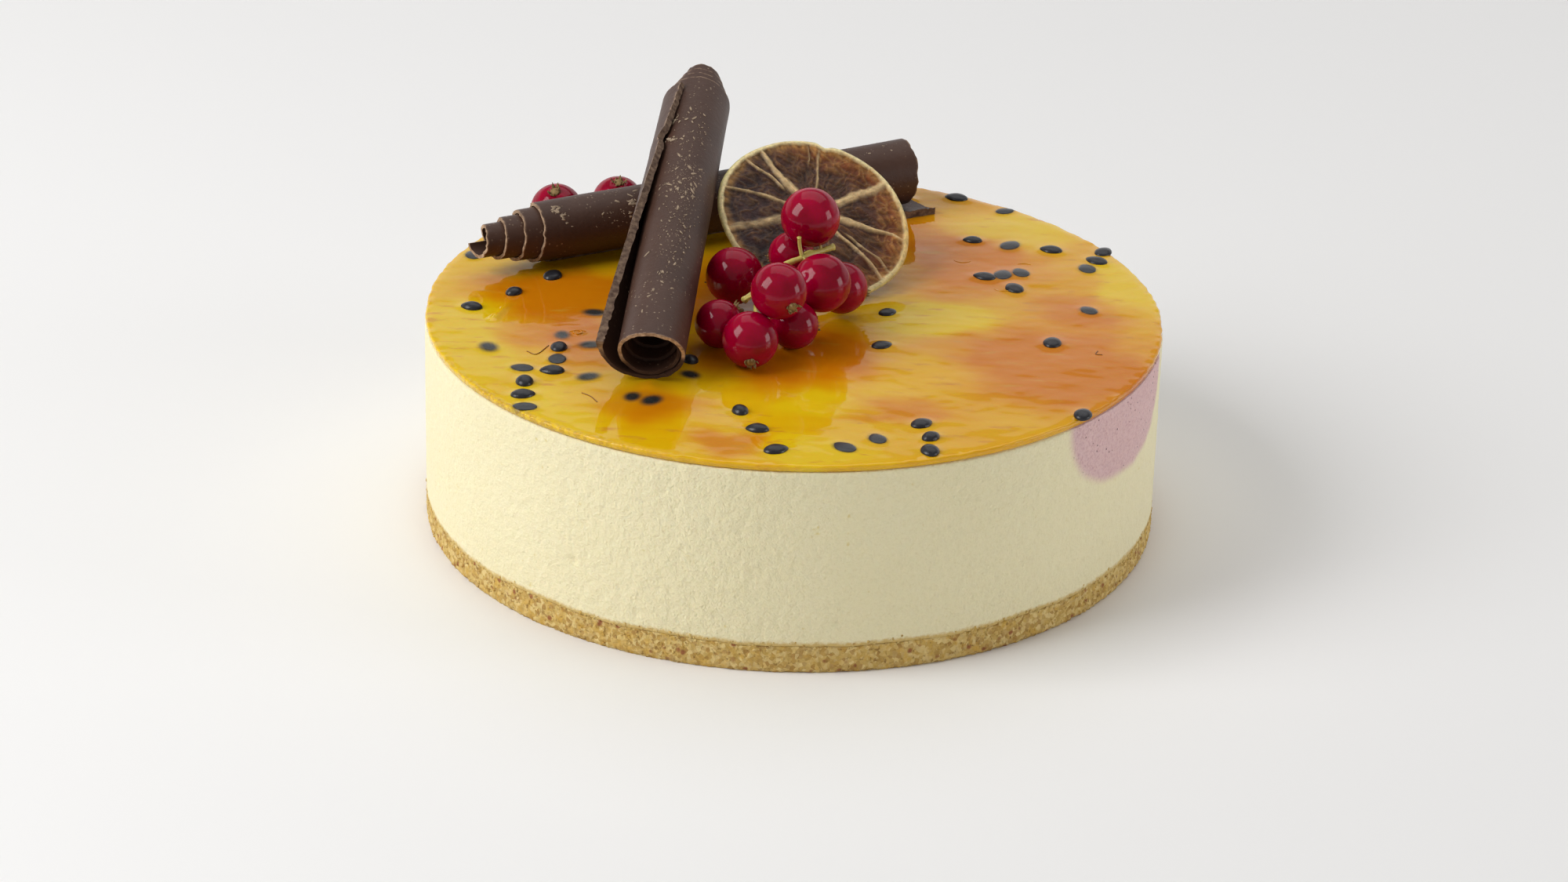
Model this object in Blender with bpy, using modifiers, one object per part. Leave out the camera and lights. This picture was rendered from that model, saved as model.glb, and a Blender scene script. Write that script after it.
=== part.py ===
"""A round raspberry and passion fruit cheesecake with its decoration.

A crumb base carries a pale cream body, with one pocket of raspberry mousse showing at its side. A thin
passion fruit glaze with seeds covers the top. Two chocolate rolls, a dried lime slice and two small bunches
of red currants stand on the glaze. The origin is at the middle of the flat underside, +Z is up, and the
front of the cake faces -Y.
"""

import math
import random

import bmesh
import bpy
from mathutils import Matrix, Vector, noise

MM = 0.001

# Driving dimensions of the cake
CAKE_RADIUS = 80 * MM
BASE_HEIGHT = 6.0 * MM
CREAM_TOP = 45.4 * MM
GLAZE_TOP = 47.0 * MM
GAP = 0.3 * MM
AROUND = 96

# Unevenness of the crumb base
BASE_EDGE_WAVE = 0.5 * MM
BASE_SIDE_CRAGS = 0.55 * MM
WAVE_STARTS = 60 * MM
WAVE_ENDS = 76 * MM
CREAM_UNEVENNESS = 0.12 * MM

# Pocket of raspberry mousse at the cream's upper edge
POCKET_HEADING = math.radians(-27)
POCKET_HEIGHT = 46 * MM
POCKET_HALF_WIDTH = 24.5 * MM
POCKET_HALF_HEIGHT = 16.8 * MM
POCKET_DEPTH = 12 * MM
POCKET_CLEARANCE = 0.4 * MM

# Passion fruit seeds, half sunk in the glaze
SEED_HALF_LENGTH = 2.7 * MM
SEED_HALF_WIDTH = 1.65 * MM
SEED_HALF_THICKNESS = 1.25 * MM
SEED_RISE = 0.3 * MM
SEED_SCATTER = 0.7 * MM
SEED_DRAW = 11

# Each trail of seeds in the glaze: start x, y, end x, y in mm, and how many lie along it
SEED_TRAILS = (
    (-56.6, -35.1, -54.2, -55.3, 4),
    (-48.8, -16.5, -50.0, -37.0, 4),
    (-60.7, 5.4, -53.0, 14.5, 2),
    (-68.9, -3.2, -64.3, -23.9, 2),
    (-42.4, -4.3, -42.7, -38.4, 3),
    (-33.2, -47.6, -29.6, -50.0, 2),
    (-21.5, -29.3, -21.0, -35.6, 2),
    (-10.0, -53.4, -3.4, -72.1, 3),
    (11.3, -69.8, 17.0, -66.2, 2),
    (27.4, -58.7, 28.8, -70.6, 3),
    (20.5, -1.0, 18.9, -17.6, 2),
    (37.0, 68.1, 47.2, 60.7, 2),
    (39.0, 42.0, 57.0, 37.6, 3),
    (68.4, 37.0, 64.5, 27.9, 3),
    (41.5, 20.6, 49.5, 25.0, 3),
    (47.8, 15.2, 64.6, 4.3, 2),
    (54.7, -14.6, 59.9, -50.8, 2),
    (-72.0, 26.0, -64.0, 40.0, 2),
    (-30.0, 64.0, -12.0, 70.0, 2),
    (2.0, 62.0, 12.0, 74.0, 2),
)

# Chocolate sheet and the spiral that it is rolled into
SHEET_THICKNESS = 0.75 * MM
SPIRAL_PITCH = 0.98 * MM
SPIRAL_TURNS = 4.2
STEPS_PER_TURN = 18
SHEET_ROWS = 3
END_RAGGEDNESS = 0.45 * MM

# Back roll, which lies along the glaze
BACK_RADIUS = 7.2 * MM
BACK_LEFT_END = (-56.0 * MM, 22.1 * MM)
BACK_HEADING = math.radians(28.5)
BACK_LENGTH = 93 * MM
BACK_TELESCOPE = -4.6 * MM
BACK_FLAP = 6.5 * MM
BACK_FLAP_STEPS = 3

# Front roll, which leans on the back roll
FRONT_RADIUS = 7.8 * MM
FRONT_FOOT = (-29.6 * MM, -42.9 * MM, 54.85 * MM)
FRONT_HEADING = math.radians(3.8)
FRONT_TILT = math.radians(10.2)
FRONT_LENGTH = 99 * MM
FRONT_TELESCOPE = 3.5 * MM
FRONT_EDGE_FOOT = math.radians(165)
FRONT_EDGE_TOP = math.radians(112)
FRONT_FLARE_SPAN = math.radians(110)
FRONT_FLARE_FOOT = 3.8 * MM
FRONT_FLARE_TOP = 0.4 * MM

# Dried lime slice, standing on the glaze and leaning on the front roll
LIME_RADIUS = 21.8 * MM
LIME_CENTRE = (3.7 * MM, 19.9 * MM, 60.2 * MM)
LIME_TILT = math.radians(32)
LIME_HEADING = math.radians(28.3)
LIME_SECTORS = 8
LIME_STEPS_PER_SECTOR = 6
LIME_RIDGE = 0.75 * MM
LIME_WARP = 0.35 * MM

# Currants of both bunches: centre and radius in mm, and the way the dried flower points
CURRANTS = {
    "currant_top": ((2.9, -1.6, 69.3), 6.1, (0.6, -0.1, 1.0)),
    "currant_behind": ((-1.0, 1.6, 59.3), 4.7, (-0.8, 0.4, -0.3)),
    "currant_left": ((-13.1, -2.6, 55.7), 5.7, (-0.9, 0.5, -0.4)),
    "currant_middle": ((-3.3, -26.6, 62.6), 5.75, (0.72, -0.62, -0.1)),
    "currant_right": ((5.7, -12.9, 58.9), 6.0, (0.6, 0.6, -0.5)),
    "currant_far_right": ((10.0, -3.0, 53.8), 5.4, (0.9, 0.3, -0.3)),
    "currant_low_left": ((-15.8, -21.5, 52.5), 5.0, (-0.5, 0.8, -0.2)),
    "currant_low_front": ((-9.1, -30.8, 53.1), 5.7, (0.05, -0.85, -0.52)),
    "currant_low_right": ((0.0, -20.6, 52.4), 5.0, (0.8, 0.5, -0.2)),
    "currant_back_left": ((-53.8, 40.4, 53.2), 5.8, (0.05, -0.1, 1.0)),
    "currant_back_right": ((-40.4, 45.9, 53.2), 5.8, (0.1, -0.1, 1.0)),
}
BERRY_RINGS = 10
CALYX_RADIUS = 1.15 * MM
CALYX_RISE = 0.7 * MM

# Stalks of the front bunch: the points each runs through in mm, and its radius
STALKS = {
    "stalk": (((-10.6, -20.3, 57.6), (-7.4, -15.6, 58.6), (-3.0, -10.5, 61.4), (1.4, -8.2, 62.6),
               (4.6, -5.1, 62.7), (8.0, -2.4, 63.0)), 0.8),
    "spur": (((1.4, -8.2, 62.6), (0.8, -8.0, 65.2), (0.6, -8.4, 67.4)), 0.5),
    "foot": (((-7.4, -15.6, 58.6), (-8.2, -19.6, 56.2), (-8.0, -22.6, 55.0)), 0.6),
}
STALK_SIDES = 2


def clear_scene():
    for obj in list(bpy.data.objects):
        bpy.data.objects.remove(obj, do_unlink=True)


def new_collection(name):
    collection = bpy.data.collections.new(name)
    bpy.context.scene.collection.children.link(collection)
    return collection


def food_material(name, colour, roughness, subsurface=0.0):
    material = bpy.data.materials.new(name)
    material.use_nodes = True
    shader = material.node_tree.nodes["Principled BSDF"]
    shader.inputs["Base Color"].default_value = (*colour, 1)
    shader.inputs["Roughness"].default_value = roughness
    shader.inputs["Metallic"].default_value = 0
    shader.inputs["Subsurface Weight"].default_value = subsurface
    material.diffuse_color = (*colour, 1)
    return material


def mesh_object(name, mesh, collection, material=None):
    obj = bpy.data.objects.new(name, mesh)
    collection.objects.link(obj)
    if material:
        mesh.materials.clear()
        mesh.materials.append(material)
    return obj


def evaluated_mesh(obj):
    bpy.context.view_layer.update()
    graph = bpy.context.evaluated_depsgraph_get()
    return bpy.data.meshes.new_from_object(obj.evaluated_get(graph), depsgraph=graph)


def apply_modifiers(obj):
    """Keep the evaluated shape as the object's own mesh, and its material."""
    materials = list(obj.data.materials)
    mesh = evaluated_mesh(obj)
    obj.modifiers.clear()
    obj.data = mesh
    mesh.materials.clear()
    for material in materials:
        mesh.materials.append(material)


def smooth(obj, angle=40):
    obj.data.shade_smooth()
    obj.data.set_sharp_from_angle(angle=math.radians(angle))


def turned(name, profile, steps, collection, material):
    """A solid of revolution from (radius, height) points, top centre first."""
    mesh = bpy.data.meshes.new(name)
    points = [(radius, 0, height) for radius, height in profile]
    mesh.from_pydata(points, [(i, i + 1) for i in range(len(points) - 1)], [])
    obj = mesh_object(name, mesh, collection, material)
    screw = obj.modifiers.new("Screw", "SCREW")
    screw.steps = steps
    screw.render_steps = steps
    screw.use_merge_vertices = True
    screw.merge_threshold = 0.00001
    apply_modifiers(obj)
    return obj


def boolean(obj, operation, other=None, others=None):
    """Cut or join, keep the result and leave no modifier."""
    modifier = obj.modifiers.new("Boolean", "BOOLEAN")
    modifier.operation = operation
    modifier.solver = "EXACT"
    if others is None:
        modifier.object = other
    else:
        modifier.operand_type = "COLLECTION"
        modifier.collection = others
    apply_modifiers(obj)


def remove_all(collection):
    for obj in list(collection.objects):
        bpy.data.objects.remove(obj, do_unlink=True)
    bpy.data.collections.remove(collection)


def ramp(value, low, high):
    share = min(max((value - low) / (high - low), 0), 1)
    return share * share * (3 - 2 * share)


def wave_round(x, y, frequency, seed):
    """Smooth noise that depends on the direction from the axis alone."""
    heading = math.atan2(y, x)
    return noise.noise(Vector((math.cos(heading) * frequency, math.sin(heading) * frequency, seed)))


def base_edge(x, y):
    """How far the boundary of base and cream rises or falls, near the side alone."""
    share = ramp(math.hypot(x, y), WAVE_STARTS, WAVE_ENDS)
    return BASE_EDGE_WAVE * share * (wave_round(x, y, 5, 1.5) + 0.6 * wave_round(x, y, 14, 7.5))


def biscuit_base(cake, material):
    top = BASE_HEIGHT
    edge = CAKE_RADIUS
    profile = [(0, top), (WAVE_STARTS, top), (WAVE_ENDS, top), (edge - 0.6 * MM, top - 0.2 * MM),
               (edge, top * 0.8), (edge, top * 0.55), (edge, top * 0.3), (edge - 0.3 * MM, 0.6 * MM),
               (edge - 1.2 * MM, 0), (WAVE_STARTS, 0), (0, 0)]
    base = turned("biscuit_base", profile, AROUND, cake, material)
    for vertex in base.data.vertices:
        x, y, z = vertex.co
        if z > top * 0.9:
            vertex.co.z += base_edge(x, y)
        elif z > 0:
            crag = noise.noise(vertex.co * 700) + 0.5 * noise.noise(vertex.co * 1900)
            push = 1 - BASE_SIDE_CRAGS * (0.5 - crag) / CAKE_RADIUS
            vertex.co.x *= push
            vertex.co.y *= push
    smooth(base, 30)
    return base


def cream_body(cake, material):
    top = CREAM_TOP
    low = BASE_HEIGHT + GAP
    edge = CAKE_RADIUS - 0.3 * MM
    profile = [(0, top), (WAVE_STARTS, top), (edge - 1.2 * MM, top), (edge - 0.35 * MM, top - 0.35 * MM),
               (edge, top - 1.2 * MM), (edge, top - 14 * MM), (edge, low + 12 * MM), (edge, low + 1 * MM),
               (edge - 0.4 * MM, low), (WAVE_ENDS, low), (WAVE_STARTS, low), (0, low)]
    body = turned("cheesecake", profile, AROUND, cake, material)
    for vertex in body.data.vertices:
        x, y, z = vertex.co
        if z < low + 2 * MM:
            vertex.co.z += base_edge(x, y)
        elif z < top - 2 * MM:
            push = 1 + CREAM_UNEVENNESS * noise.noise(vertex.co * 60) / CAKE_RADIUS
            vertex.co.x *= push
            vertex.co.y *= push
    return body


def pocket_shape(name, clearance, collection):
    """The rounded pocket of mousse, centred on the cream's side near its rim."""
    bm = bmesh.new()
    bmesh.ops.create_uvsphere(bm, u_segments=28, v_segments=14, radius=1)
    mesh = bpy.data.meshes.new(name)
    bm.to_mesh(mesh)
    bm.free()
    place = Matrix.Translation((math.cos(POCKET_HEADING) * CAKE_RADIUS,
                                math.sin(POCKET_HEADING) * CAKE_RADIUS, POCKET_HEIGHT))
    size = Matrix.Diagonal((POCKET_DEPTH + clearance, POCKET_HALF_WIDTH + clearance,
                            POCKET_HALF_HEIGHT + clearance, 1))
    mesh.transform(place @ Matrix.Rotation(POCKET_HEADING, 4, "Z") @ size)
    return mesh_object(name, mesh, collection)


def fill_pocket(body, cake, cutters, material):
    """Cut the pocket out of the cream and fill it with raspberry mousse."""
    mousse = mesh_object("raspberry_mousse", body.data.copy(), cake, material)
    boolean(mousse, "INTERSECT", pocket_shape("mousse_shape", 0, cutters))
    boolean(body, "DIFFERENCE", pocket_shape("pocket_cutter", POCKET_CLEARANCE, cutters))
    smooth(body, 30)
    smooth(mousse, 30)
    return mousse


def seed_places():
    """Centre and heading of every seed, strung along the trails with a seeded scatter."""
    draw = random.Random(SEED_DRAW)
    for x0, y0, x1, y1, count in SEED_TRAILS:
        for i in range(count):
            share = i / (count - 1)
            x = (x0 + (x1 - x0) * share) * MM + draw.uniform(-1, 1) * SEED_SCATTER
            y = (y0 + (y1 - y0) * share) * MM + draw.uniform(-1, 1) * SEED_SCATTER
            yield x, y, draw.uniform(0, math.pi), draw.uniform(0.85, 1.1)


def glaze(cake, material):
    top = GLAZE_TOP
    low = CREAM_TOP + GAP
    edge = CAKE_RADIUS - 0.3 * MM
    profile = [(0, top), (WAVE_STARTS, top), (edge - 1.3 * MM, top), (edge - 0.35 * MM, top - 0.2 * MM),
               (edge, top - 0.7 * MM), (edge - 0.2 * MM, low), (WAVE_STARTS, low), (0, low)]
    cover = turned("passionfruit_glaze", profile, AROUND, cake, material)
    seeds = new_collection("seeds")
    for x, y, heading, size in seed_places():
        bm = bmesh.new()
        bmesh.ops.create_uvsphere(bm, u_segments=6, v_segments=4, radius=size)
        mesh = bpy.data.meshes.new("seed")
        bm.to_mesh(mesh)
        bm.free()
        shape = Matrix.Diagonal((SEED_HALF_LENGTH, SEED_HALF_WIDTH, SEED_HALF_THICKNESS, 1))
        place = Matrix.Translation((x, y, top + SEED_RISE))
        mesh.transform(place @ Matrix.Rotation(heading, 4, "Z") @ shape)
        mesh_object("seed", mesh, seeds)
    boolean(cover, "UNION", others=seeds)
    remove_all(seeds)
    smooth(cover, 30)
    return cover


def roll_axes(heading_from_x, tilt):
    """Unit vectors along a roll, level across it, and upwards across it."""
    along = Vector((math.cos(heading_from_x) * math.cos(tilt), math.sin(heading_from_x) * math.cos(tilt),
                    math.sin(tilt)))
    across = along.cross(Vector((0, 0, 1))).normalized()
    return along, across, across.cross(along)


def sheet_grid(columns):
    """A flat grid whose x runs from the sheet's free edge inwards and whose y runs along the roll."""
    bm = bmesh.new()
    bmesh.ops.create_grid(bm, x_segments=columns, y_segments=SHEET_ROWS, size=0.5)
    for vertex in bm.verts:
        vertex.co.x += 0.5
        vertex.co.y += 0.5
    return bm


def ragged(share, along_sheet, seed):
    """A small shift of the sheet's cut ends, none in its middle."""
    at_end = abs(2 * share - 1) ** 8
    return END_RAGGEDNESS * at_end * noise.noise(Vector((along_sheet * 23, share * 3, seed)))


def sheet_solid(name, bm, cake, material):
    mesh = bpy.data.meshes.new(name)
    bm.to_mesh(mesh)
    bm.free()
    obj = mesh_object(name, mesh, cake, material)
    thicken = obj.modifiers.new("Sheet", "SOLIDIFY")
    thicken.thickness = SHEET_THICKNESS
    thicken.offset = 0
    apply_modifiers(obj)
    smooth(obj, 40)
    return obj


def back_roll(cake, material):
    """The roll that lies on the glaze. Its free edge runs out under it as a flat flap towards the front."""
    along, front, up = roll_axes(BACK_HEADING, 0)
    radius = BACK_RADIUS - SHEET_THICKNESS / 2
    foot = Vector((*BACK_LEFT_END, GLAZE_TOP + GAP + BACK_RADIUS))
    spiral_steps = round(STEPS_PER_TURN * SPIRAL_TURNS)
    columns = spiral_steps + BACK_FLAP_STEPS
    flap_share = BACK_FLAP_STEPS / columns
    bm = sheet_grid(columns)
    for vertex in bm.verts:
        share, row = vertex.co.x, vertex.co.y
        turns = SPIRAL_TURNS * max(share - flap_share, 0) / (1 - flap_share)
        angle = -math.pi / 2 - 2 * math.pi * turns
        reach = radius - SPIRAL_PITCH * turns
        flap = BACK_FLAP * (0.25 + 0.75 * ramp(row, 0.4, 1)) * max(1 - share / flap_share, 0)
        slide = BACK_TELESCOPE * (turns - max(1 - share / flap_share, 0) * BACK_FLAP / radius / 4)
        level = front * (reach * math.cos(angle) + flap) + up * reach * math.sin(angle)
        vertex.co = foot + level + along * (BACK_LENGTH * row + slide + ragged(row, share, 3.5))
    return sheet_solid("chocolate_roll_back", bm, cake, material)


def front_roll(cake, material):
    """The leaning roll. Its free edge stands off from it on the left, most at the foot."""
    along, right, up = roll_axes(math.pi / 2 - FRONT_HEADING, FRONT_TILT)
    radius = FRONT_RADIUS - SHEET_THICKNESS / 2
    foot = Vector(FRONT_FOOT)
    bm = sheet_grid(round(STEPS_PER_TURN * SPIRAL_TURNS))
    for vertex in bm.verts:
        share, row = vertex.co.x, vertex.co.y
        free_edge = FRONT_EDGE_FOOT + (FRONT_EDGE_TOP - FRONT_EDGE_FOOT) * row
        inner_edge = FRONT_EDGE_FOOT + 2 * math.pi * SPIRAL_TURNS
        angle = free_edge + (inner_edge - free_edge) * share
        turns = (angle - FRONT_EDGE_FOOT) / (2 * math.pi)
        flare = FRONT_FLARE_FOOT + (FRONT_FLARE_TOP - FRONT_FLARE_FOOT) * row
        reach = radius - SPIRAL_PITCH * turns
        reach += flare * max(1 - (angle - free_edge) / FRONT_FLARE_SPAN, 0) ** 1.5
        level = right * reach * math.cos(angle) + up * reach * math.sin(angle)
        slide = FRONT_TELESCOPE * turns + ragged(row, share, 8.5)
        vertex.co = foot + level + along * (FRONT_LENGTH * row + slide)
    return sheet_solid("chocolate_roll_front", bm, cake, material)


def lime_ridge(radius, step):
    """How much a point of the slice's face rises: full on the walls between segments and at the hub."""
    if radius > LIME_RADIUS * 0.9:
        return 0
    on_wall = step % LIME_STEPS_PER_SECTOR == 0
    return LIME_RIDGE if on_wall or radius < LIME_RADIUS * 0.1 else 0


def lime_slice(cake, material):
    r = LIME_RADIUS
    face = [(0, 0.95 * MM), (r * 0.09, 0.35 * MM), (r * 0.3, 0.2 * MM), (r * 0.6, 0.15 * MM),
            (r * 0.86, 0.35 * MM), (r * 0.93, 1.2 * MM), (r * 0.985, 0.9 * MM)]
    profile = face + [(r, 0)] + [(radius, -height) for radius, height in reversed(face)]
    steps = LIME_SECTORS * LIME_STEPS_PER_SECTOR
    piece = turned("dried_lime_slice", profile, steps, cake, material)
    for vertex in piece.data.vertices:
        radius = math.hypot(vertex.co.x, vertex.co.y)
        heading = math.atan2(vertex.co.y, vertex.co.x)
        step = round(heading / (2 * math.pi) * steps)
        side = 1 if vertex.co.z > 0 else -1
        if radius > 0.5 * MM:
            vertex.co.z += side * lime_ridge(radius, step)
        vertex.co.z += LIME_WARP * math.sin(2 * heading + 0.6) * (radius / r) ** 2
    turn = Matrix.Rotation(LIME_HEADING, 4, "Z") @ Matrix.Rotation(LIME_TILT, 4, "X")
    piece.data.transform(Matrix.Translation(LIME_CENTRE) @ turn)
    smooth(piece, 35)
    return piece


def currant(name, cake, material):
    """A berry with the small dried cup of its flower at the pole that points the given way."""
    centre, radius, flower = CURRANTS[name]
    radius *= MM
    bm = bmesh.new()
    bmesh.ops.create_uvsphere(bm, u_segments=14, v_segments=BERRY_RINGS, radius=radius)
    for vertex in bm.verts:
        off_pole = math.hypot(vertex.co.x, vertex.co.y)
        ring = round(math.atan2(off_pole, vertex.co.z) / math.pi * BERRY_RINGS)
        if ring in (1, 2):
            vertex.co.x *= CALYX_RADIUS / off_pole
            vertex.co.y *= CALYX_RADIUS / off_pole
            foot = math.sqrt(radius ** 2 - CALYX_RADIUS ** 2)
            vertex.co.z = radius + CALYX_RISE if ring == 1 else foot
    mesh = bpy.data.meshes.new(name)
    bm.to_mesh(mesh)
    bm.free()
    berry = mesh_object(name, mesh, cake, material)
    berry.location = Vector(centre) * MM
    berry.rotation_euler = Vector(flower).to_track_quat("Z", "Y").to_euler()
    smooth(berry)
    return berry


def stalk_tube(name, collection):
    """A stalk as a closed tube through its points."""
    points, radius = STALKS[name]
    curve = bpy.data.curves.new(name, "CURVE")
    curve.dimensions = "3D"
    curve.bevel_depth = radius * MM
    curve.bevel_resolution = STALK_SIDES
    curve.use_fill_caps = True
    spline = curve.splines.new("POLY")
    spline.points.add(len(points) - 1)
    for point, place in zip(spline.points, points):
        point.co = (*(Vector(place) * MM), 1)
    guide = bpy.data.objects.new(name, curve)
    collection.objects.link(guide)
    mesh = evaluated_mesh(guide)
    bpy.data.objects.remove(guide, do_unlink=True)
    bm = bmesh.new()
    bm.from_mesh(mesh)
    bmesh.ops.remove_doubles(bm, verts=bm.verts, dist=0.000001)
    bmesh.ops.recalc_face_normals(bm, faces=bm.faces)
    bm.to_mesh(mesh)
    bm.free()
    return mesh_object(name, mesh, collection)


def currant_stem(cake, material):
    """The branching stalk of the front bunch, joined into one solid."""
    branches = new_collection("branches")
    main = stalk_tube("stalk", cake)
    main.name = "currant_stem"
    main.data.materials.clear()
    main.data.materials.append(material)
    for name in list(STALKS)[1:]:
        stalk_tube(name, branches)
    boolean(main, "UNION", others=branches)
    remove_all(branches)
    smooth(main)
    return main


def main():
    clear_scene()
    cake = new_collection("raspberry_passion_fruit_cheesecake")
    cutters = new_collection("cutters")
    biscuit_base(cake, food_material("crumb", (0.52, 0.30, 0.10), 0.85))
    body = cream_body(cake, food_material("cream", (0.84, 0.74, 0.46), 0.55, 0.2))
    fill_pocket(body, cake, cutters, food_material("mousse", (0.62, 0.30, 0.33), 0.6, 0.2))
    for cutter in cutters.objects:
        cutter.hide_render = True
        cutter.display_type = "WIRE"
    glaze(cake, food_material("glaze", (0.72, 0.38, 0.03), 0.12, 0.1))
    chocolate = food_material("chocolate", (0.045, 0.026, 0.020), 0.42)
    back_roll(cake, chocolate)
    front_roll(cake, chocolate)
    lime_slice(cake, food_material("dried_lime", (0.50, 0.33, 0.12), 0.6))
    berry_skin = food_material("currant_skin", (0.42, 0.008, 0.02), 0.12, 0.1)
    for name in CURRANTS:
        currant(name, cake, berry_skin)
    currant_stem(cake, food_material("stalk_green", (0.42, 0.42, 0.10), 0.5))


main()
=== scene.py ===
import math
import random

import bmesh
import bpy
import numpy as np
from mathutils import Matrix, Vector, noise


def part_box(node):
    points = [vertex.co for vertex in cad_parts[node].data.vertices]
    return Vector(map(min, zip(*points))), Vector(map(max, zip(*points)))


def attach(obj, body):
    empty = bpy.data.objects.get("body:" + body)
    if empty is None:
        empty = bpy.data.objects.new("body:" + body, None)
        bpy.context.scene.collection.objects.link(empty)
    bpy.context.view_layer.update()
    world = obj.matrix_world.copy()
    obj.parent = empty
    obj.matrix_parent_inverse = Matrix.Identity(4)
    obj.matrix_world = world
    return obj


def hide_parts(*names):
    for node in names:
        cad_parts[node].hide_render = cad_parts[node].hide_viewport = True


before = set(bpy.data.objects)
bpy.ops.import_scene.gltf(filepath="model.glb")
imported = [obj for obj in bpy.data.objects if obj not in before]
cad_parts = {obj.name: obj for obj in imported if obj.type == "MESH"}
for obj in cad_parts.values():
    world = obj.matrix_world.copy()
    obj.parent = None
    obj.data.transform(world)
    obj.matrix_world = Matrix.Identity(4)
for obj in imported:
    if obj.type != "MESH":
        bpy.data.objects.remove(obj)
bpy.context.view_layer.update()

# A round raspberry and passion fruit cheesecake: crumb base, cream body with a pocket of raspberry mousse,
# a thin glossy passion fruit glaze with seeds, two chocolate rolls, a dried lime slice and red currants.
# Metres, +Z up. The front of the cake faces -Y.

MM = 0.001
TAU = 2 * math.pi

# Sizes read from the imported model
BASE_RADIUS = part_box("biscuit_base")[1].x
CREAM_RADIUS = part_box("cheesecake")[1].x
CREAM_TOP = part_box("cheesecake")[1].z
GLAZE_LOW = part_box("passionfruit_glaze")[0].z
GLAZE_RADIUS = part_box("passionfruit_glaze")[1].x

# Thickness of the glaze, height of the crumb base, and the gap between the glaze and what lies on it
GLAZE_TOP = GLAZE_LOW + 1.3 * MM
BASE_HEIGHT = 6.0 * MM
GAP = 0.3 * MM

# Unevenness of the boundary between base and cream
BASE_EDGE_WAVE = 0.5 * MM
WAVE_STARTS = 60 * MM
WAVE_ENDS = 76 * MM

# Crumb base
CRUMB_AROUND = 1300
CRUMB_ROWS = 20
CRUMB_RELIEF = 0.5 * MM
LOOSE_CRUMBS = 1400
CRUMB_DRAW = 5

# Cream side
CREAM_AROUND = 960
CREAM_ROWS = 66
CREAM_PITS = 230
PIT_DRAW = 21

# The two largest open bubbles in the cream: heading, height and size
LARGE_PITS = ((math.radians(-123.6), 17.7 * MM, 1.1 * MM), (math.radians(-82.5), 11.5 * MM, 0.9 * MM))

# Pocket of raspberry mousse, and the thin piece that fills it
POCKET_HEADING = math.radians(-27)
POCKET_HEIGHT = 46 * MM
POCKET_HALF_WIDTH = 24.5 * MM
POCKET_HALF_HEIGHT = 16.8 * MM
MOUSSE_DEPTH = 2.5 * MM
MOUSSE_COLUMNS = 190
MOUSSE_ROWS = 84

# Glaze
GLAZE_AROUND = 720
GLAZE_RINGS = 122

# A small air bubble and a raised wisp in the glaze, and the stretch of its rim that is beaded
GLAZE_BUBBLE = (-46.0 * MM, -15.9 * MM)
GLAZE_WISP = ((-64.5 * MM, -9.6 * MM), (-61.1 * MM, 1.4 * MM))
BEADS_HEADING = math.radians(-135)
BEADS_SPREAD = math.radians(24)

# Fine brown threads on the glaze, through points given in mm
THREADS = (
    ((-56.2, -26.3), (-54.1, -27.8), (-51.8, -23.1)),
    ((-43.5, -46.9), (-41.6, -48.6), (-40.1, -51.4)),
    ((64.8, -17.8), (64.3, -19.6), (65.7, -19.8)),
)

# Fine raised ripples: middle x and y and radius in mm, and the headings in degrees between which each runs
RIPPLE_POINTS = 15
RIPPLES = (
    (-46.0, -15.9, 0.95, 0, 345),
    (37.1, 31.6, 2.1, 205, 335),
    (45.9, 16.2, 2.6, 210, 330),
    (48.5, 39.4, 2.3, 55, 135),
    (50.8, 27.6, 2.3, 50, 130),
)

# Passion fruit seeds
SEED_HALF_LENGTH = 2.5 * MM
SEED_HALF_WIDTH = 1.85 * MM
SEED_AROUND = 28
SEED_RINGS = 14
SEED_SCATTER = 0.7 * MM
SEED_DRAW = 11
PROUD_DRAW = 8

# Seeds lie deep left of and in front of the first x and y, and are flatter right of and behind the second
DEEP_SEEDS = (-18 * MM, 8 * MM)
FLAT_SEEDS = (15 * MM, -30 * MM)

# Trails of seeds: x and y of the two ends in mm, and the number of seeds
SEED_TRAILS = (
    (-56.6, -35.1, -54.2, -55.3, 4),
    (-48.8, -16.5, -50.0, -37.0, 4),
    (-60.7, 5.4, -53.0, 14.5, 2),
    (-68.9, -3.2, -64.3, -23.9, 2),
    (-42.4, -4.3, -42.7, -38.4, 3),
    (-33.2, -47.6, -29.6, -50.0, 2),
    (-21.5, -29.3, -21.0, -35.6, 2),
    (-10.0, -53.4, -3.4, -72.1, 3),
    (11.3, -69.8, 17.0, -66.2, 2),
    (27.4, -58.7, 28.8, -70.6, 3),
    (20.5, -1.0, 18.9, -17.6, 2),
    (37.0, 68.1, 47.2, 60.7, 2),
    (39.0, 42.0, 57.0, 37.6, 3),
    (68.4, 37.0, 64.5, 27.9, 3),
    (41.5, 20.6, 49.5, 25.0, 3),
    (47.8, 15.2, 64.6, 4.3, 2),
    (54.7, -14.6, 59.9, -50.8, 2),
    (-72.0, 26.0, -64.0, 40.0, 2),
    (-30.0, 64.0, -12.0, 70.0, 2),
    (2.0, 62.0, 12.0, 74.0, 2),
)

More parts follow.
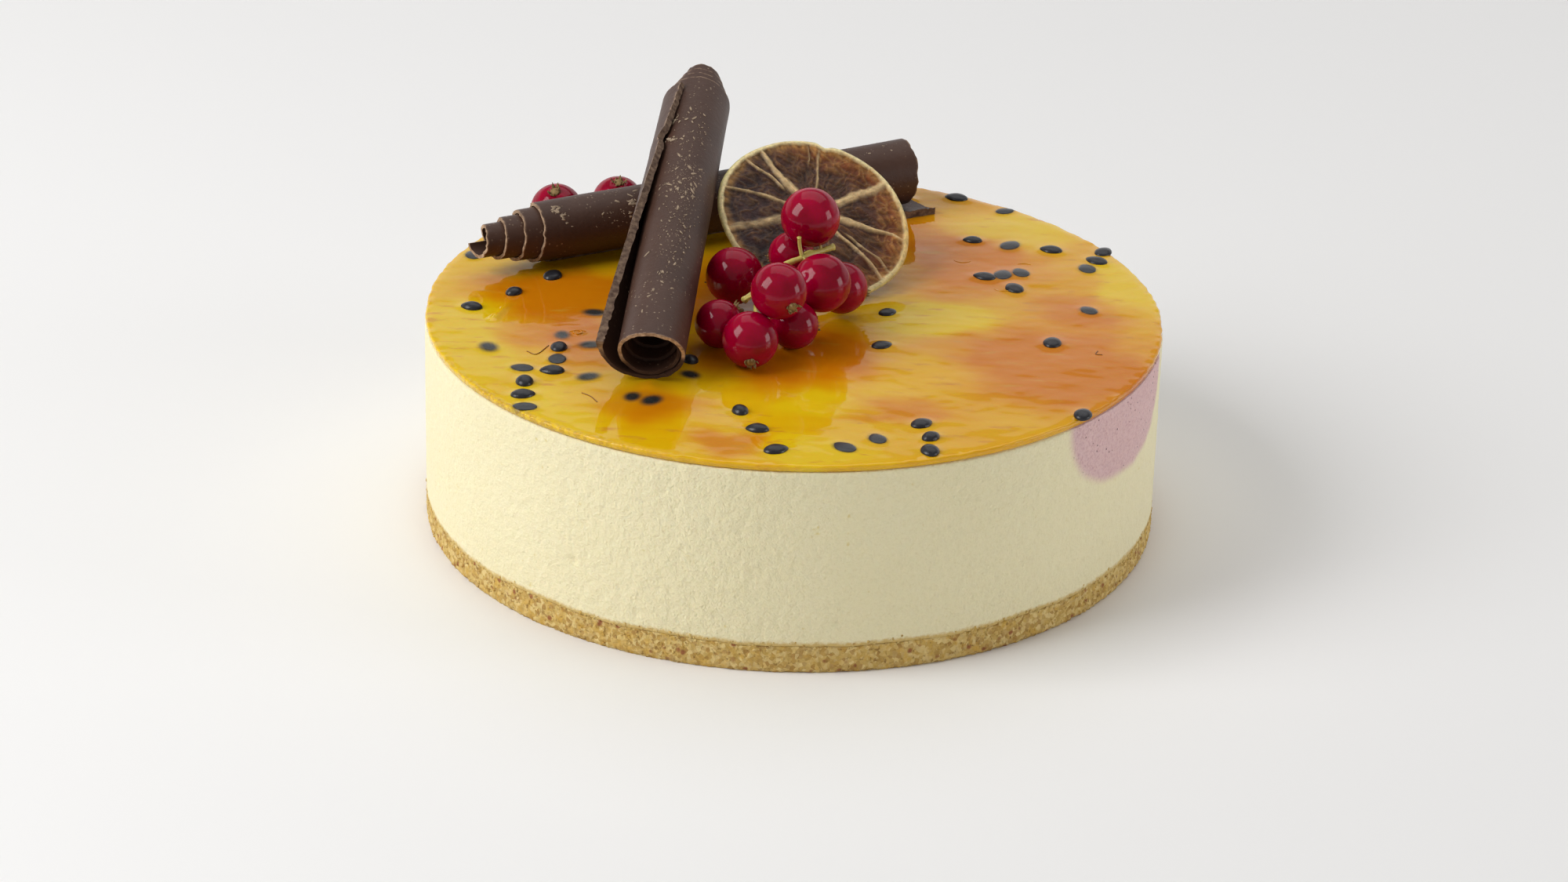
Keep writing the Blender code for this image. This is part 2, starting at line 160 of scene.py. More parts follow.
# Soft patches of colour in the glaze: its own swirls of orange and yellow, and, where deepest, painted
# reflection of the dark rolls and berries and painted shade near them. x, y, half width, half depth in mm,
# and how orange (or, below 0, how yellow) the middle is
GLAZE_PATCHES_AND_REFLECTIONS = (
    (-50, 6, 22, 13, 0.80),
    (-56, -14, 13, 10, 0.50),
    (-44, -22, 8, 16, 0.60),
    (-31, -52, 13, 9, 0.75),
    (-13, -70, 8, 5, 0.55),
    (0, -24, 19, 16, 0.95),
    (-14, 10, 18, 20, 0.70),
    (19, -51, 16, 6, 0.55),
    (56, -27, 19, 20, 0.75),
    (64, 4, 12, 9, 0.50),
    (36, -18, 12, 7, 0.30),
    (38, 27, 16, 17, 0.75),
    (16, 48, 18, 12, 0.50),
    (-16, 62, 16, 10, 0.40),
    (73, 16, 8, 18, -0.60),
    (31, -2, 11, 8, -0.60),
    (7, -50, 9, 5, -0.60),
    (2, -72, 12, 5, -0.50),
    (-70, -22, 9, 24, -0.60),
    (-50, -56, 16, 12, -0.35),
    (52, 50, 16, 10, -0.50),
)

# Chocolate sheet, the spiral it is rolled into and its length when unrolled. Its free edge is slanted and
# thickened to a burr; its edges carry a thin painted highlight
SHEET_THICKNESS = 0.75 * MM
SPIRAL_PITCH = 0.98 * MM
SPIRAL_TURNS = 4.2
SHEET_ROWS = 130
SHEET_COLUMNS = 176
BACK_UNROLLED = 140 * MM
FRONT_UNROLLED = 142 * MM
SLANT_SHARE = 0.0015
BURR_SHARE = 0.0065
EDGE_HIGHLIGHT_WIDTH = 0.18 * MM

# Back roll
BACK_RADIUS = 7.2 * MM
BACK_LEFT_END = (-55.3 * MM, 22.5 * MM)
BACK_HEADING = math.radians(28.5)
BACK_LENGTH = 92.3 * MM
BACK_TELESCOPE = -4.15 * MM
BACK_FLAP = 9.0 * MM
BACK_FLAP_SHARE = 0.05
BACK_BURR_SHARE = 0.012
BACK_WIDENS = 0.9 * MM
BACK_SHIFT = (1.3 * MM, 0.1 * MM)
BACK_FOOT = Vector((*BACK_LEFT_END, GLAZE_TOP + GAP + BACK_RADIUS))

# Front roll
FRONT_RADIUS = 7.8 * MM
FRONT_FOOT = (-29.6 * MM, -42.9 * MM, 54.85 * MM)
FRONT_HEADING = math.radians(3.8)
FRONT_TILT = math.radians(10.2)
FRONT_LENGTH = 98.5 * MM
FRONT_TELESCOPE = 3.5 * MM
FRONT_EDGE_FOOT = math.radians(165)
FRONT_EDGE_TOP = math.radians(112)
FRONT_FLARE_SPAN = math.radians(110)
FRONT_FLARE_FOOT = 3.8 * MM
FRONT_FLARE_TOP = 0.25 * MM
FRONT_NOTCH = 0.77
FRONT_RECESS_STARTS = 1.25
FRONT_LIP = 3.4 * MM

# Chips of scraped chocolate on the rolls, and the heading in degrees past which they lie beyond the front
# roll's free edge
FRONT_FLAKES = 460
BACK_FLAKES = 240
FLAKE_DRAW = 29
PAST_FREE_EDGE = 135

# Rough spots where the chips crowd together: 0 for the front roll and 1 for the back one, distance along it
# in mm, heading round it in degrees, spread in mm and number of chips
ROUGH_SPOTS = (
    (1, 0.3, 66, 0.9, 24),
    (1, 1.6, 50, 1.4, 14),
    (1, 19.0, 54, 1.0, 24),
    (1, 18.0, 24, 0.5, 7),
    (1, 55.0, 70, 1.6, 18),
    (0, 79.0, 122, 1.6, 30),
    (0, 72.0, 118, 1.2, 22),
    (0, 50.0, 85, 2.6, 30),
)

# Dried lime slice. A wall between its segments: heading in degrees, half width in mm at the hub and at the
# rim, the share of the way out at which it starts, and how strongly it shows
LIME_RADIUS = 21.8 * MM
LIME_CENTRE = (3.7 * MM, 19.9 * MM, 60.2 * MM)
LIME_TILT = math.radians(32)
LIME_HEADING = math.radians(28.3)
LIME_HUB = (0.7 * MM, 1.7 * MM)
LIME_WALLS = (
    (108, 1.90, 0.45, 0.0, 1.0),
    (119, 0.40, 0.30, 0.35, 0.9),
    (147, 0.80, 0.35, 0.0, 0.8),
    (181, 1.60, 0.95, 0.0, 0.6),
    (62, 0.35, 0.25, 0.0, 0.7),
    (72, 0.10, 0.20, 0.55, 0.6),
    (11, 1.00, 1.20, 0.0, 1.0),
    (-33, 2.10, 0.20, 0.0, 1.0),
    (-66, 0.75, 0.40, 0.0, 0.9),
    (-58, 0.10, 0.35, 0.35, 0.8),
    (235, 0.60, 0.30, 0.0, 0.5),
)
LIME_DENT = math.radians(60)
LIME_AROUND = 480
LIME_RINGS = 68

# Colours of the dried slice
LIME_PITH = np.array((0.93, 0.78, 0.42))
LIME_RIND = np.array((0.62, 0.58, 0.22))
LIME_STAIN = np.array((0.75, 0.42, 0.06))
LIME_MEMBRANE = np.array((0.64, 0.46, 0.235))
FLESH = np.array((0.062, 0.025, 0.016))
DARK_FLESH = np.array((0.042, 0.019, 0.018))
RUST_FLESH = np.array((0.23, 0.060, 0.010))
AMBER_FLESH = np.array((0.52, 0.28, 0.08))

# Currants: centre and radius in mm, and the way the dried flower points. Each skin swells past its radius. A
# currant rests in the glaze if its underside is below the height given after them, in mm
CURRANTS = {
    "currant_top": ((2.9, -1.6, 69.3), 6.1, (0.1, 0.95, 0.3)),
    "currant_behind": ((-1.0, 1.6, 59.3), 4.7, (-0.8, 0.4, -0.3)),
    "currant_left": ((-13.1, -2.6, 55.7), 5.95, (-0.9, 0.5, -0.4)),
    "currant_middle": ((-3.3, -26.6, 62.6), 5.75, (0.50, -0.82, -0.28)),
    "currant_right": ((5.7, -12.9, 58.9), 6.0, (0.6, 0.6, -0.5)),
    "currant_far_right": ((10.0, -3.0, 53.8), 5.4, (0.9, 0.3, -0.3)),
    "currant_low_left": ((-15.8, -21.5, 52.5), 5.0, (0.75, 0.30, 0.58)),
    "currant_low_front": ((-9.1, -30.8, 53.1), 5.7, (0.05, -0.85, -0.52)),
    "currant_low_right": ((0.0, -20.6, 52.4), 5.0, (0.8, 0.5, -0.2)),
    "currant_back_left": ((-53.8, 40.4, 52.6), 5.6, (-0.05, -0.45, 1.0)),
    "currant_back_right": ((-40.4, 45.9, 52.6), 5.6, (0.05, -0.30, 1.0)),
}
BERRY_SWELL = 1.045
BERRY_RESTS_BELOW = 48
BERRY_AROUND = 56
BERRY_RINGS = 34
SEPALS = 9
SEPAL_DRAW = 17

# Stalks of the front bunch: the points each runs through in mm, and its radius
STALKS = {
    "stalk": (((-10.6, -20.3, 57.6), (-7.4, -15.6, 58.6), (-3.0, -10.5, 61.4), (1.4, -8.2, 62.6),
               (4.6, -5.1, 62.7), (8.0, -2.4, 63.0)), 0.62),
    "spur": (((1.4, -8.2, 62.6), (0.8, -8.0, 65.2), (0.6, -8.4, 67.4)), 0.38),
    "foot": (((-7.4, -15.6, 58.6), (-8.2, -19.6, 56.2), (-8.0, -22.6, 55.0)), 0.45),
}

# Currants that hang from the bunch's stalk by a thin one of their own
HANGING = ("currant_top", "currant_behind", "currant_middle", "currant_right", "currant_low_right")

# Camera, 1 m from the cake: elevation, small turns, and the lens on a 36 mm wide sensor
VIEW_DISTANCE = 1.0
VIEW_ELEVATION = 0.425968
VIEW_YAW = -0.00144843
VIEW_PITCH = -0.00569988
VIEW_ROLL = 0.0272783
AIM_HEIGHT = 22 * MM
LENS_MM = 104.98

# The pale wall behind the cake, as heights on the unit sphere, and how bright it and the room are
WALL_LOW = 0.34
WALL_HIGH = 0.4195
WALL_LIGHT_LOW = 0.85
WALL_LIGHT_HIGH = 0.50
ROOM_LIGHT_FRONT = 0.30
ROOM_LIGHT_BACK = 0.22

# How far back, on the unit sphere, the room's light changes and the wall comes in
ROOM_CHANGES = (-0.3, 0.3)
WALL_COMES_IN = (0.2, 0.5)

# Soft lights: place, the place it shines at, width, height and power
LIGHTS = {
    "key": ((-0.98, -0.33, 0.82), (0, 0, 0.03), 0.75, 0.9, 13.2),
    "fill": ((1.15, -0.20, 0.30), (0, 0, 0.03), 0.45, 0.5, 3.0),
    "top": ((0.15, 0.70, 1.3), (0, 0.15, 0.03), 1.7, 1.2, 6.0),
}


# Helpers

def ramp(values, low, high):
    """A smooth rise from 0 at low to 1 at high, for an array."""
    share = np.clip((values - low) / (high - low), 0, 1)
    return share * share * (3 - 2 * share)


def step(value, low, high):
    """The same rise for one number."""
    share = min(max((value - low) / (high - low), 0), 1)
    return share * share * (3 - 2 * share)


def blend(a, b, share):
    return a * (1 - share) + b * share


def wrapped(angle):
    """An angle brought to between half a turn back and half a turn ahead."""
    return (angle + math.pi) % TAU - math.pi


def toward(heading):
    """The level unit vector that points at a heading."""
    return Vector((math.cos(heading), math.sin(heading), 0))


def polar(points):
    """Distance from the cake's axis and heading of each point."""
    x, y = points[:, 0], points[:, 1]
    return np.hypot(x, y), np.arctan2(y, x)


def lump(x, y, z):
    """Smooth noise from -1 to 1 at one place."""
    return noise.noise(Vector((x, y, z)))


def noise_of(points, size, seed=0.0):
    """Smooth noise from -1 to 1 at each point, with features about as large as size."""
    scale = 1 / size
    shift = Vector((seed, seed * 1.7, -seed))
    return np.array([noise.noise(Vector(p) * scale + shift) for p in points])


def cells_of(points, size, seed=0.0):
    """Distance to the nearest of a field of random points, in units of size: round lumps where it is low."""
    scale = 1 / size
    shift = Vector((seed, -seed, seed * 2.3))
    return np.array([noise.voronoi(Vector(p) * scale + shift)[0][0] for p in points])


def add_object(name, data):
    obj = bpy.data.objects.new(name, data)
    bpy.context.scene.collection.objects.link(obj)
    return obj


def piece(name, points, faces, materials, slot, *replaced):
    """A smooth mesh object that rides on the cake, takes the given materials and replaces CAD nodes."""
    mesh = bpy.data.meshes.new(name)
    mesh.from_pydata([tuple(p) for p in points], [], faces)
    for material in materials:
        mesh.materials.append(material)
    mesh.shade_smooth()
    obj = add_object(name, mesh)
    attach(obj, "root")
    if replaced:
        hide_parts(*replaced)
    return obj


def join_meshes(name, meshes, material, slot, *replaced):
    """One piece from many small closed meshes, each given by its vertices and faces."""
    points = []
    faces = []
    for vertices, polygons in meshes:
        start = len(points)
        points += list(vertices)
        faces += [tuple(start + i for i in polygon) for polygon in polygons]
    return piece(name, points, faces, [material], slot, *replaced)


def places_of(obj):
    return np.array([v.co for v in obj.data.vertices])


def store(obj, name, values):
    """Keep a number or a colour for each vertex, which the material reads."""
    values = np.asarray(values, np.float32)
    if values.ndim == 1:
        obj.data.attributes.new(name, "FLOAT", "POINT").data.foreach_set("value", values)
    else:
        opaque = np.column_stack([values, np.ones(len(values), np.float32)])
        obj.data.attributes.new(name, "FLOAT_COLOR", "POINT").data.foreach_set("color", opaque.ravel())


def turned_faces(rings, around):
    """Quads of a turned solid whose first and last points lie on the axis."""
    faces = [(0, 1 + j, 1 + (j + 1) % around) for j in range(around)]
    for i in range(rings - 1):
        a = 1 + i * around
        b = a + around
        faces += [(a + j, b + j, b + (j + 1) % around, a + (j + 1) % around) for j in range(around)]
    last = 1 + (rings - 1) * around
    end = 1 + rings * around
    faces += [(last + j, end, last + (j + 1) % around) for j in range(around)]
    return faces


def turned_points(profile, around):
    """Points of a turned solid from (radius, height) pairs, top centre first and bottom centre last."""
    headings = np.arange(around) * TAU / around
    rings = [np.stack([r * np.cos(headings), r * np.sin(headings), np.full(around, z)], 1)
             for r, z in profile[1:-1]]
    top = np.array([[0, 0, profile[0][1]]])
    bottom = np.array([[0, 0, profile[-1][1]]])
    return np.concatenate([top] + rings + [bottom])


def turned_piece(name, points, around, material, slot, node_name):
    faces = turned_faces((len(points) - 2) // around, around)
    return piece(name, points, faces, [material], slot, node_name)


def push_out(points, amount):
    """Move points away from the axis."""
    radius = np.maximum(polar(points)[0], 1e-6)
    points[:, 0] *= 1 + amount / radius
    points[:, 1] *= 1 + amount / radius


def sheet_faces(columns, rows):
    """Faces of a closed sheet whose two sides are equal grids: those of the sides, then the edges."""
    per = rows + 1
    whole = (columns + 1) * per
    sides = []
    edges = []
    for i in range(columns):
        for j in range(rows):
            a, b = i * per + j, (i + 1) * per + j
            sides += [(a, b, b + 1, a + 1), (whole + a, whole + a + 1, whole + b + 1, whole + b)]
        for a in (i * per, i * per + rows):
            edges.append((a, a + per, whole + a + per, whole + a))
    for start in (0, columns * per):
        edges += [(a, a + 1, whole + a + 1, whole + a) for a in range(start, start + rows)]
    return sides, edges


def face_outward(obj, joined=False):
    """Turn every face outward, first joining the points that coincide if asked to."""
    bm = bmesh.new()
    bm.from_mesh(obj.data)
    if joined:
        bmesh.ops.remove_doubles(bm, verts=bm.verts, dist=0.01 * MM)
    bmesh.ops.recalc_face_normals(bm, faces=bm.faces)
    bm.to_mesh(obj.data)
    bm.free()


def ball(subdivisions):
    """Vertices and faces of a unit icosphere."""
    bm = bmesh.new()
    bmesh.ops.create_icosphere(bm, subdivisions=subdivisions, radius=1)
    vertices = [v.co.copy() for v in bm.verts]
    polygons = [tuple(v.index for v in f.verts) for f in bm.faces]
    bm.free()
    return vertices, polygons


def globe(around, rings):
    """Vertices and faces of a unit sphere made of rings round the Z axis."""
    points = [Vector((0, 0, 1))]
    for i in range(1, rings):
        down = math.pi * i / rings
        for j in range(around):
            points.append(toward(TAU * j / around) * math.sin(down) + Vector((0, 0, math.cos(down))))
    points.append(Vector((0, 0, -1)))
    return points, turned_faces(rings - 1, around)


def smooth_line(places, steps):
    """Points along a smooth curve through the given places."""
    line = []
    padded = [places[0] * 2 - places[1]] + list(places) + [places[-1] * 2 - places[-2]]
    for i in range(1, len(padded) - 2):
        p0, p1, p2, p3 = padded[i - 1:i + 3]
        for k in range(steps):
            t = k / steps
            line.append(0.5 * (2 * p1 + (p2 - p0) * t + (2 * p0 - 5 * p1 + 4 * p2 - p3) * t ** 2
                               + (3 * p1 - p0 - 3 * p2 + p3) * t ** 3))
    line.append(places[-1])
    return line


def tube(line, radii, around=18):
    """Vertices and faces of a closed round tube along a line."""
    vertices = [line[0]]
    for i, middle in enumerate(line):
        ahead = line[min(i + 1, len(line) - 1)] - line[max(i - 1, 0)]
        ahead.normalize()
        across = ahead.cross(Vector((0, 0, 1))).normalized()
        over = across.cross(ahead)
        for j in range(around):
            turn = TAU * j / around
            vertices.append(middle + (across * math.cos(turn) + over * math.sin(turn)) * radii[i])
    vertices.append(line[-1])
    return vertices, [tuple(reversed(f)) for f in turned_faces(len(line), around)]


# Node trees

def node(tree, kind, inputs, **settings):
    """Add a node. An input is a value, or a socket to link from."""
    made = tree.nodes.new("ShaderNode" + kind)
    for key, value in settings.items():
        setattr(made, key, value)
    for key, value in inputs.items():
        if isinstance(value, bpy.types.NodeSocket):
            tree.links.new(value, made.inputs[key])
        else:
            made.inputs[key].default_value = value
    return made


def map_range(tree, value, low, high, at_low=0.0, at_high=1.0):
    made = node(tree, "MapRange", {"Value": value, "From Min": low, "From Max": high, "To Min": at_low,
                                   "To Max": at_high})
    return made.outputs["Result"]


def mix(tree, share, a, b, kind="MIX"):
    """Blend two colours, each a socket or a red, green and blue triple."""
    a, b = [c if isinstance(c, bpy.types.NodeSocket) else (*c, 1) for c in (a, b)]
    return node(tree, "Mix", {0: share, 6: a, 7: b}, data_type="RGBA", blend_type=kind).outputs[2]


class Look:
    """A Principled material with the nodes that colour it. Constant values are set on the shader itself."""

    def __init__(self, name, **settings):
        self.material = bpy.data.materials.new(name)
        self.material.use_nodes = True
        self.tree = self.material.node_tree
        self.shader = self.tree.nodes["Principled BSDF"]
        self.places = {}
        for key, value in settings.items():
            self.shader.inputs[key.replace("_", " ").title().replace("Ior", "IOR")].default_value = value

    def place(self, stretch=(1, 1, 1)):
        """The object's own coordinates, stretched where a pattern is drawn out."""
        if stretch not in self.places:
            inputs = {"Vector": node(self.tree, "TexCoord", {}).outputs["Object"], "Scale": stretch}
            self.places[stretch] = node(self.tree, "Mapping", inputs).outputs["Vector"]
        return self.places[stretch]

    def noise(self, scale, detail=3.0, roughness=0.5, between=None, stretch=(1, 1, 1)):
        """Noise, or where it lies between two of its values."""
        inputs = {"Vector": self.place(stretch), "Scale": scale, "Detail": detail, "Roughness": roughness}
        made = node(self.tree, "TexNoise", inputs).outputs["Fac"]
        return self.between(made, *between) if between else made

    def cells(self, scale, channel):
        """A random value for each cell round a field of points, and the distance to the cell's point."""
        made = node(self.tree, "TexVoronoi", {"Vector": self.place(), "Scale": scale})
        chance = node(self.tree, "SeparateColor", {"Color": made.outputs["Color"]}).outputs[channel]
        return chance, made.outputs["Distance"]

    def specks(self, scale, channel, chosen, size):
        """Round specks in the cells whose random value passes, each fading between two distances."""
        chance, distance = self.cells(scale, channel)
        return self.math(self.between(chance, *chosen), self.between(distance, *size))

    def between(self, value, low, high):
        return map_range(self.tree, value, low, high)

    def math(self, a, b, operation="MULTIPLY"):
        return node(self.tree, "Math", {0: a, 1: b}, operation=operation).outputs[0]

    def mix(self, share, a, b, kind="MIX"):
        return mix(self.tree, share, a, b, kind)

    def attribute(self, name, output="Fac"):
        return node(self.tree, "Attribute", {}, attribute_name=name).outputs[output]

    def ramp(self, value, stops):
        made = node(self.tree, "ValToRGB", {"Fac": value})
        elements = made.color_ramp.elements
        while len(elements) < len(stops):
            elements.new(0.5)
        for element, (position, colour) in zip(elements, stops):
            element.position = position
            element.color = (*colour, 1)
        return made.outputs["Color"]

    def finish(self, tint, height=None, distance=0.0):
        """Set the colour, and the fine relief where there is one, and give the material back."""
        self.tree.links.new(tint, self.shader.inputs["Base Color"])
        if height is not None:
            made = node(self.tree, "Bump", {"Height": height, "Distance": distance, "Strength": 1.0})
            self.tree.links.new(made.outputs["Normal"], self.shader.inputs["Normal"])
        return self.material


# Crumb base

def base_edge(points):
    """How far the boundary of base and cream rises or falls, near the side alone."""
    radius, headings = polar(points)
    wave = 0
    for size, often, seed in ((1, 5, 1.5), (0.6, 14, 7.5)):
        wave += size * np.array([lump(math.cos(h) * often, math.sin(h) * often, seed) for h in headings])
    return BASE_EDGE_WAVE * ramp(radius, WAVE_STARTS, WAVE_ENDS) * wave


def crumb_material():
    look = Look("crumb_look", roughness=0.85, subsurface_weight=0.12, subsurface_scale=0.0008,
                specular_ior_level=0.25, subsurface_radius=(1.0, 0.6, 0.3))
    tint = look.ramp(look.cells(1150.0, "Red")[0], ((0.0, (0.50, 0.31, 0.085)), (0.35, (0.65, 0.45, 0.145)),
                                                    (0.7, (0.78, 0.60, 0.26)), (1.0, (0.44, 0.25, 0.065))))
    tint = look.mix(look.noise(420.0, 4.0, between=(0.52, 0.70)), tint, (0.64, 0.40, 0.09))
    tint = look.mix(look.specks(560.0, "Green", (0.80, 0.86), (0.42, 0.22)), tint, (0.34, 0.13, 0.05))
    tint = look.mix(look.noise(900.0, between=(0.30, 0.40)), (0.36, 0.21, 0.06), tint)
    return look.finish(tint, look.noise(1400.0, 4.0, 0.65), 0.00035)


def crumb_base(material):
    edge = BASE_RADIUS - 0.35 * MM
    rows = np.linspace(0, 1, CRUMB_ROWS)
    side = [(edge - 0.5 * MM * max(t - 0.85, 0) / 0.15, BASE_HEIGHT * (1 - t)) for t in rows]
    profile = [(0, BASE_HEIGHT), (WAVE_STARTS, BASE_HEIGHT), (WAVE_ENDS, BASE_HEIGHT)] + side
    profile += [(edge - 2 * MM, 0), (WAVE_STARTS, 0), (0, 0)]
    points = turned_points(profile, CRUMB_AROUND)
    on_side = polar(points)[0] > edge - 0.7 * MM
    where = points[on_side]
    lumps = 0.5 - cells_of(where, 1.0 * MM) + 0.35 * (0.5 - cells_of(where, 0.5 * MM, 4.0))
    lumps += 0.25 * noise_of(where, 5 * MM, 2.0)
    moved = where.copy()
    push_out(moved, np.minimum(CRUMB_RELIEF * lumps, 0.33 * MM))
    above_floor = where[:, 2] / BASE_HEIGHT > 0.05
    moved[:, 2] += 0.25 * MM * noise_of(where, 0.9 * MM, 9.0) * above_floor
    points[on_side] = moved
    points[:, 2] += base_edge(points) * np.clip(points[:, 2] / BASE_HEIGHT, 0, 1)
    points[:, 2] = np.maximum(points[:, 2], 0)
    return turned_piece("crumb_base", points, CRUMB_AROUND, material, "crumb", "biscuit_base")


def loose_crumbs(material):
    """Small angular crumbs stuck to the side of the base, some along its upper boundary."""
    draw = random.Random(CRUMB_DRAW)
    vertices, polygons = ball(2)
    meshes = []
    for i in range(LOOSE_CRUMBS):
        heading = draw.uniform(0, TAU)
        size = draw.uniform(0.24, 0.6) * MM
        if i % 2 == 0:
            height = BASE_HEIGHT + draw.gauss(0.15, 0.42) * MM
        else:
            height = draw.uniform(0.8 * MM, BASE_HEIGHT)
        reach = BASE_RADIUS - 0.15 * MM - size * draw.uniform(0.6, 1.0)
        place = toward(heading) * reach + Vector((0, 0, height))
        place.z += float(base_edge(np.array([place]))[0])
        shape = Vector((draw.uniform(0.7, 1.2), draw.uniform(0.7, 1.2), draw.uniform(0.6, 1.0)))
        turn = Matrix.Rotation(draw.uniform(0, TAU), 3, "X") @ Matrix.Rotation(draw.uniform(0, TAU), 3, "Z")
        shift = Vector((i * 3.1, 0, 0))
        moved = []
        for v in vertices:
            rough = 1 + 0.45 * noise.noise(v * 1.6 + shift)
            moved.append(place + turn @ (v * shape) * (rough * size * 0.8))
        meshes.append((moved, polygons))
    return join_meshes("loose_crumbs", meshes, material, "crumb")


# Cream and mousse

def pocket_place(points):
    """How far each point lies from the pocket's middle, sideways and upwards, in its half sizes."""
    sideways = wrapped(polar(points)[1] - POCKET_HEADING) * CREAM_RADIUS / POCKET_HALF_WIDTH
    return sideways, (points[:, 2] - POCKET_HEIGHT) / POCKET_HALF_HEIGHT


def raspberry(points):
    """How much raspberry colours a point of the side: a soft-edged U, wider than the piece set into it."""
    sideways, upward = pocket_place(points)
    share = (np.abs(sideways / 0.95) ** 2.3 + np.abs(upward / 1.06) ** 2.3) ** (1 / 2.3)
    return 1 - ramp(share + 0.02 * noise_of(points, 6 * MM, 3.0), 0.93, 1.06)


def cream_material(name):
    look = Look(name, roughness=0.65, subsurface_weight=0.2, subsurface_scale=0.0012, specular_ior_level=0.3,
                subsurface_radius=(1.0, 0.75, 0.4))
    cloud = look.noise(60.0)
    grain = look.noise(1900.0, 3.0, 0.6)
    cream = look.mix(cloud, (0.86, 0.78, 0.50), (0.89, 0.81, 0.54))
    cream = look.mix(look.between(grain, 0.50, 0.72), cream, (0.82, 0.735, 0.455))
    cream = look.mix(look.noise(460.0, 2.0, between=(0.72, 0.80)), cream, (0.77, 0.65, 0.31))
    pink = look.mix(cloud, (0.70, 0.46, 0.45), (0.78, 0.55, 0.53))
    pink = look.mix(look.between(grain, 0.45, 0.70), pink, (0.61, 0.36, 0.37))
    pink = look.mix(look.specks(780.0, "Green", (0.60, 0.66), (0.20, 0.12)), pink, (0.10, 0.02, 0.025))
    tint = look.mix(look.attribute("raspberry"), cream, pink)
    crumby = look.math(look.attribute("above_base"), look.noise(1000.0, 3.0, 0.6), "SUBTRACT")
    tint = look.mix(look.between(crumby, 0.34, -0.16), tint, (0.66, 0.47, 0.17))
    pebbles = look.mix(0.3, look.noise(600.0, 3.0, 0.55), grain)
    return look.finish(tint, pebbles, 0.00065)


def cream_relief(points):
    """Pebbly grain of the cut side."""
    grain = 0.100 * noise_of(points, 2.2 * MM, 1.0) + 0.055 * noise_of(points, 0.8 * MM, 5.0)
    return MM * (grain + 0.10 * noise_of(points, 16 * MM, 8.0))


def pits(points):
    """Depth of small open bubbles in the side."""
    draw = random.Random(PIT_DRAW)
    depth = np.zeros(len(points))
    headings = polar(points)[1]
    for i in range(CREAM_PITS):
        heading = draw.uniform(-math.pi, math.pi)
        height = draw.uniform(8, 44) * MM
        size = draw.uniform(0.35, 0.7) * MM
        if i < len(LARGE_PITS):
            heading, height, size = LARGE_PITS[i]
        far = np.hypot(wrapped(headings - heading) * CREAM_RADIUS, points[:, 2] - height) / size
        depth += np.where(far < 2, size * 0.55 * np.exp(-far * far * 1.4), 0)
    return depth


def cream_body(material):
    edge = CREAM_RADIUS
    low = BASE_HEIGHT + GAP * 0.3
    heights = np.linspace(CREAM_TOP - 0.5 * MM, low + 0.2 * MM, CREAM_ROWS)
    side = [(edge - 0.25 * MM, CREAM_TOP - 0.08 * MM)] + [(edge, z) for z in heights]
    profile = [(0, CREAM_TOP), (WAVE_STARTS, CREAM_TOP), (edge - 1.2 * MM, CREAM_TOP)] + side
    profile += [(edge - 0.06 * MM, low), (WAVE_ENDS, low), (WAVE_STARTS, low), (0, low)]
    points = turned_points(profile, CREAM_AROUND)
    on_side = polar(points)[0] > edge - 0.35 * MM
    where = points[on_side]
    moved = where.copy()
    push_out(moved, cream_relief(where) - pits(where) - 0.05 * MM)
    upper = ramp(where[:, 2], CREAM_TOP - 1.6 * MM, CREAM_TOP)
    moved[:, 2] += 0.12 * MM * upper * noise_of(where, 0.9 * MM, 6.0)
    points[on_side] = moved
    lower = 1 - ramp(points[:, 2], low + 1 * MM, low + 9 * MM)
    points[:, 2] += base_edge(points) * lower
    body = turned_piece("cream_body", points, CREAM_AROUND, material, "cream", "cheesecake")
    store(body, "raspberry", raspberry(points))
    above = (points[:, 2] - BASE_HEIGHT - base_edge(points)) / (1.5 * MM)
    store(body, "above_base", np.clip(above, 0, 4))
    return body


def mousse_patch(material):
    """The mousse where it shows: a shallow closed piece set into the side, a little proud in its middle."""
    outer = []
    for i in range(MOUSSE_COLUMNS + 1):
        across = 2 * i / MOUSSE_COLUMNS - 1
        middle = toward(POCKET_HEADING + across * POCKET_HALF_WIDTH / CREAM_RADIUS) * CREAM_RADIUS
        for j in range(MOUSSE_ROWS + 1):
            down = math.sqrt(max(1 - across * across, 0)) * j / MOUSSE_ROWS
            height = min(POCKET_HEIGHT - down * POCKET_HALF_HEIGHT, CREAM_TOP - 0.2 * MM)
            outer.append((middle.x, middle.y, height if j else CREAM_TOP - 0.1 * MM))
    outer = np.array(outer)
    inner = outer.copy()
    push_out(inner, -MOUSSE_DEPTH)
    proud = 0.03 * MM - 0.35 * MM * ramp(np.hypot(*pocket_place(outer)), 0.86, 1.0)
    push_out(outer, cream_relief(outer) + proud - 0.05 * MM)
    sides, edges = sheet_faces(MOUSSE_COLUMNS, MOUSSE_ROWS)
    points = np.concatenate([outer, inner])
    mousse = piece("mousse", points, sides + edges, [material], "mousse", "raspberry_mousse")
    face_outward(mousse, joined=True)
    places = places_of(mousse)
    store(mousse, "raspberry", raspberry(places))
    store(mousse, "above_base", np.full(len(places), 4.0))
    return mousse


# Glaze and seeds

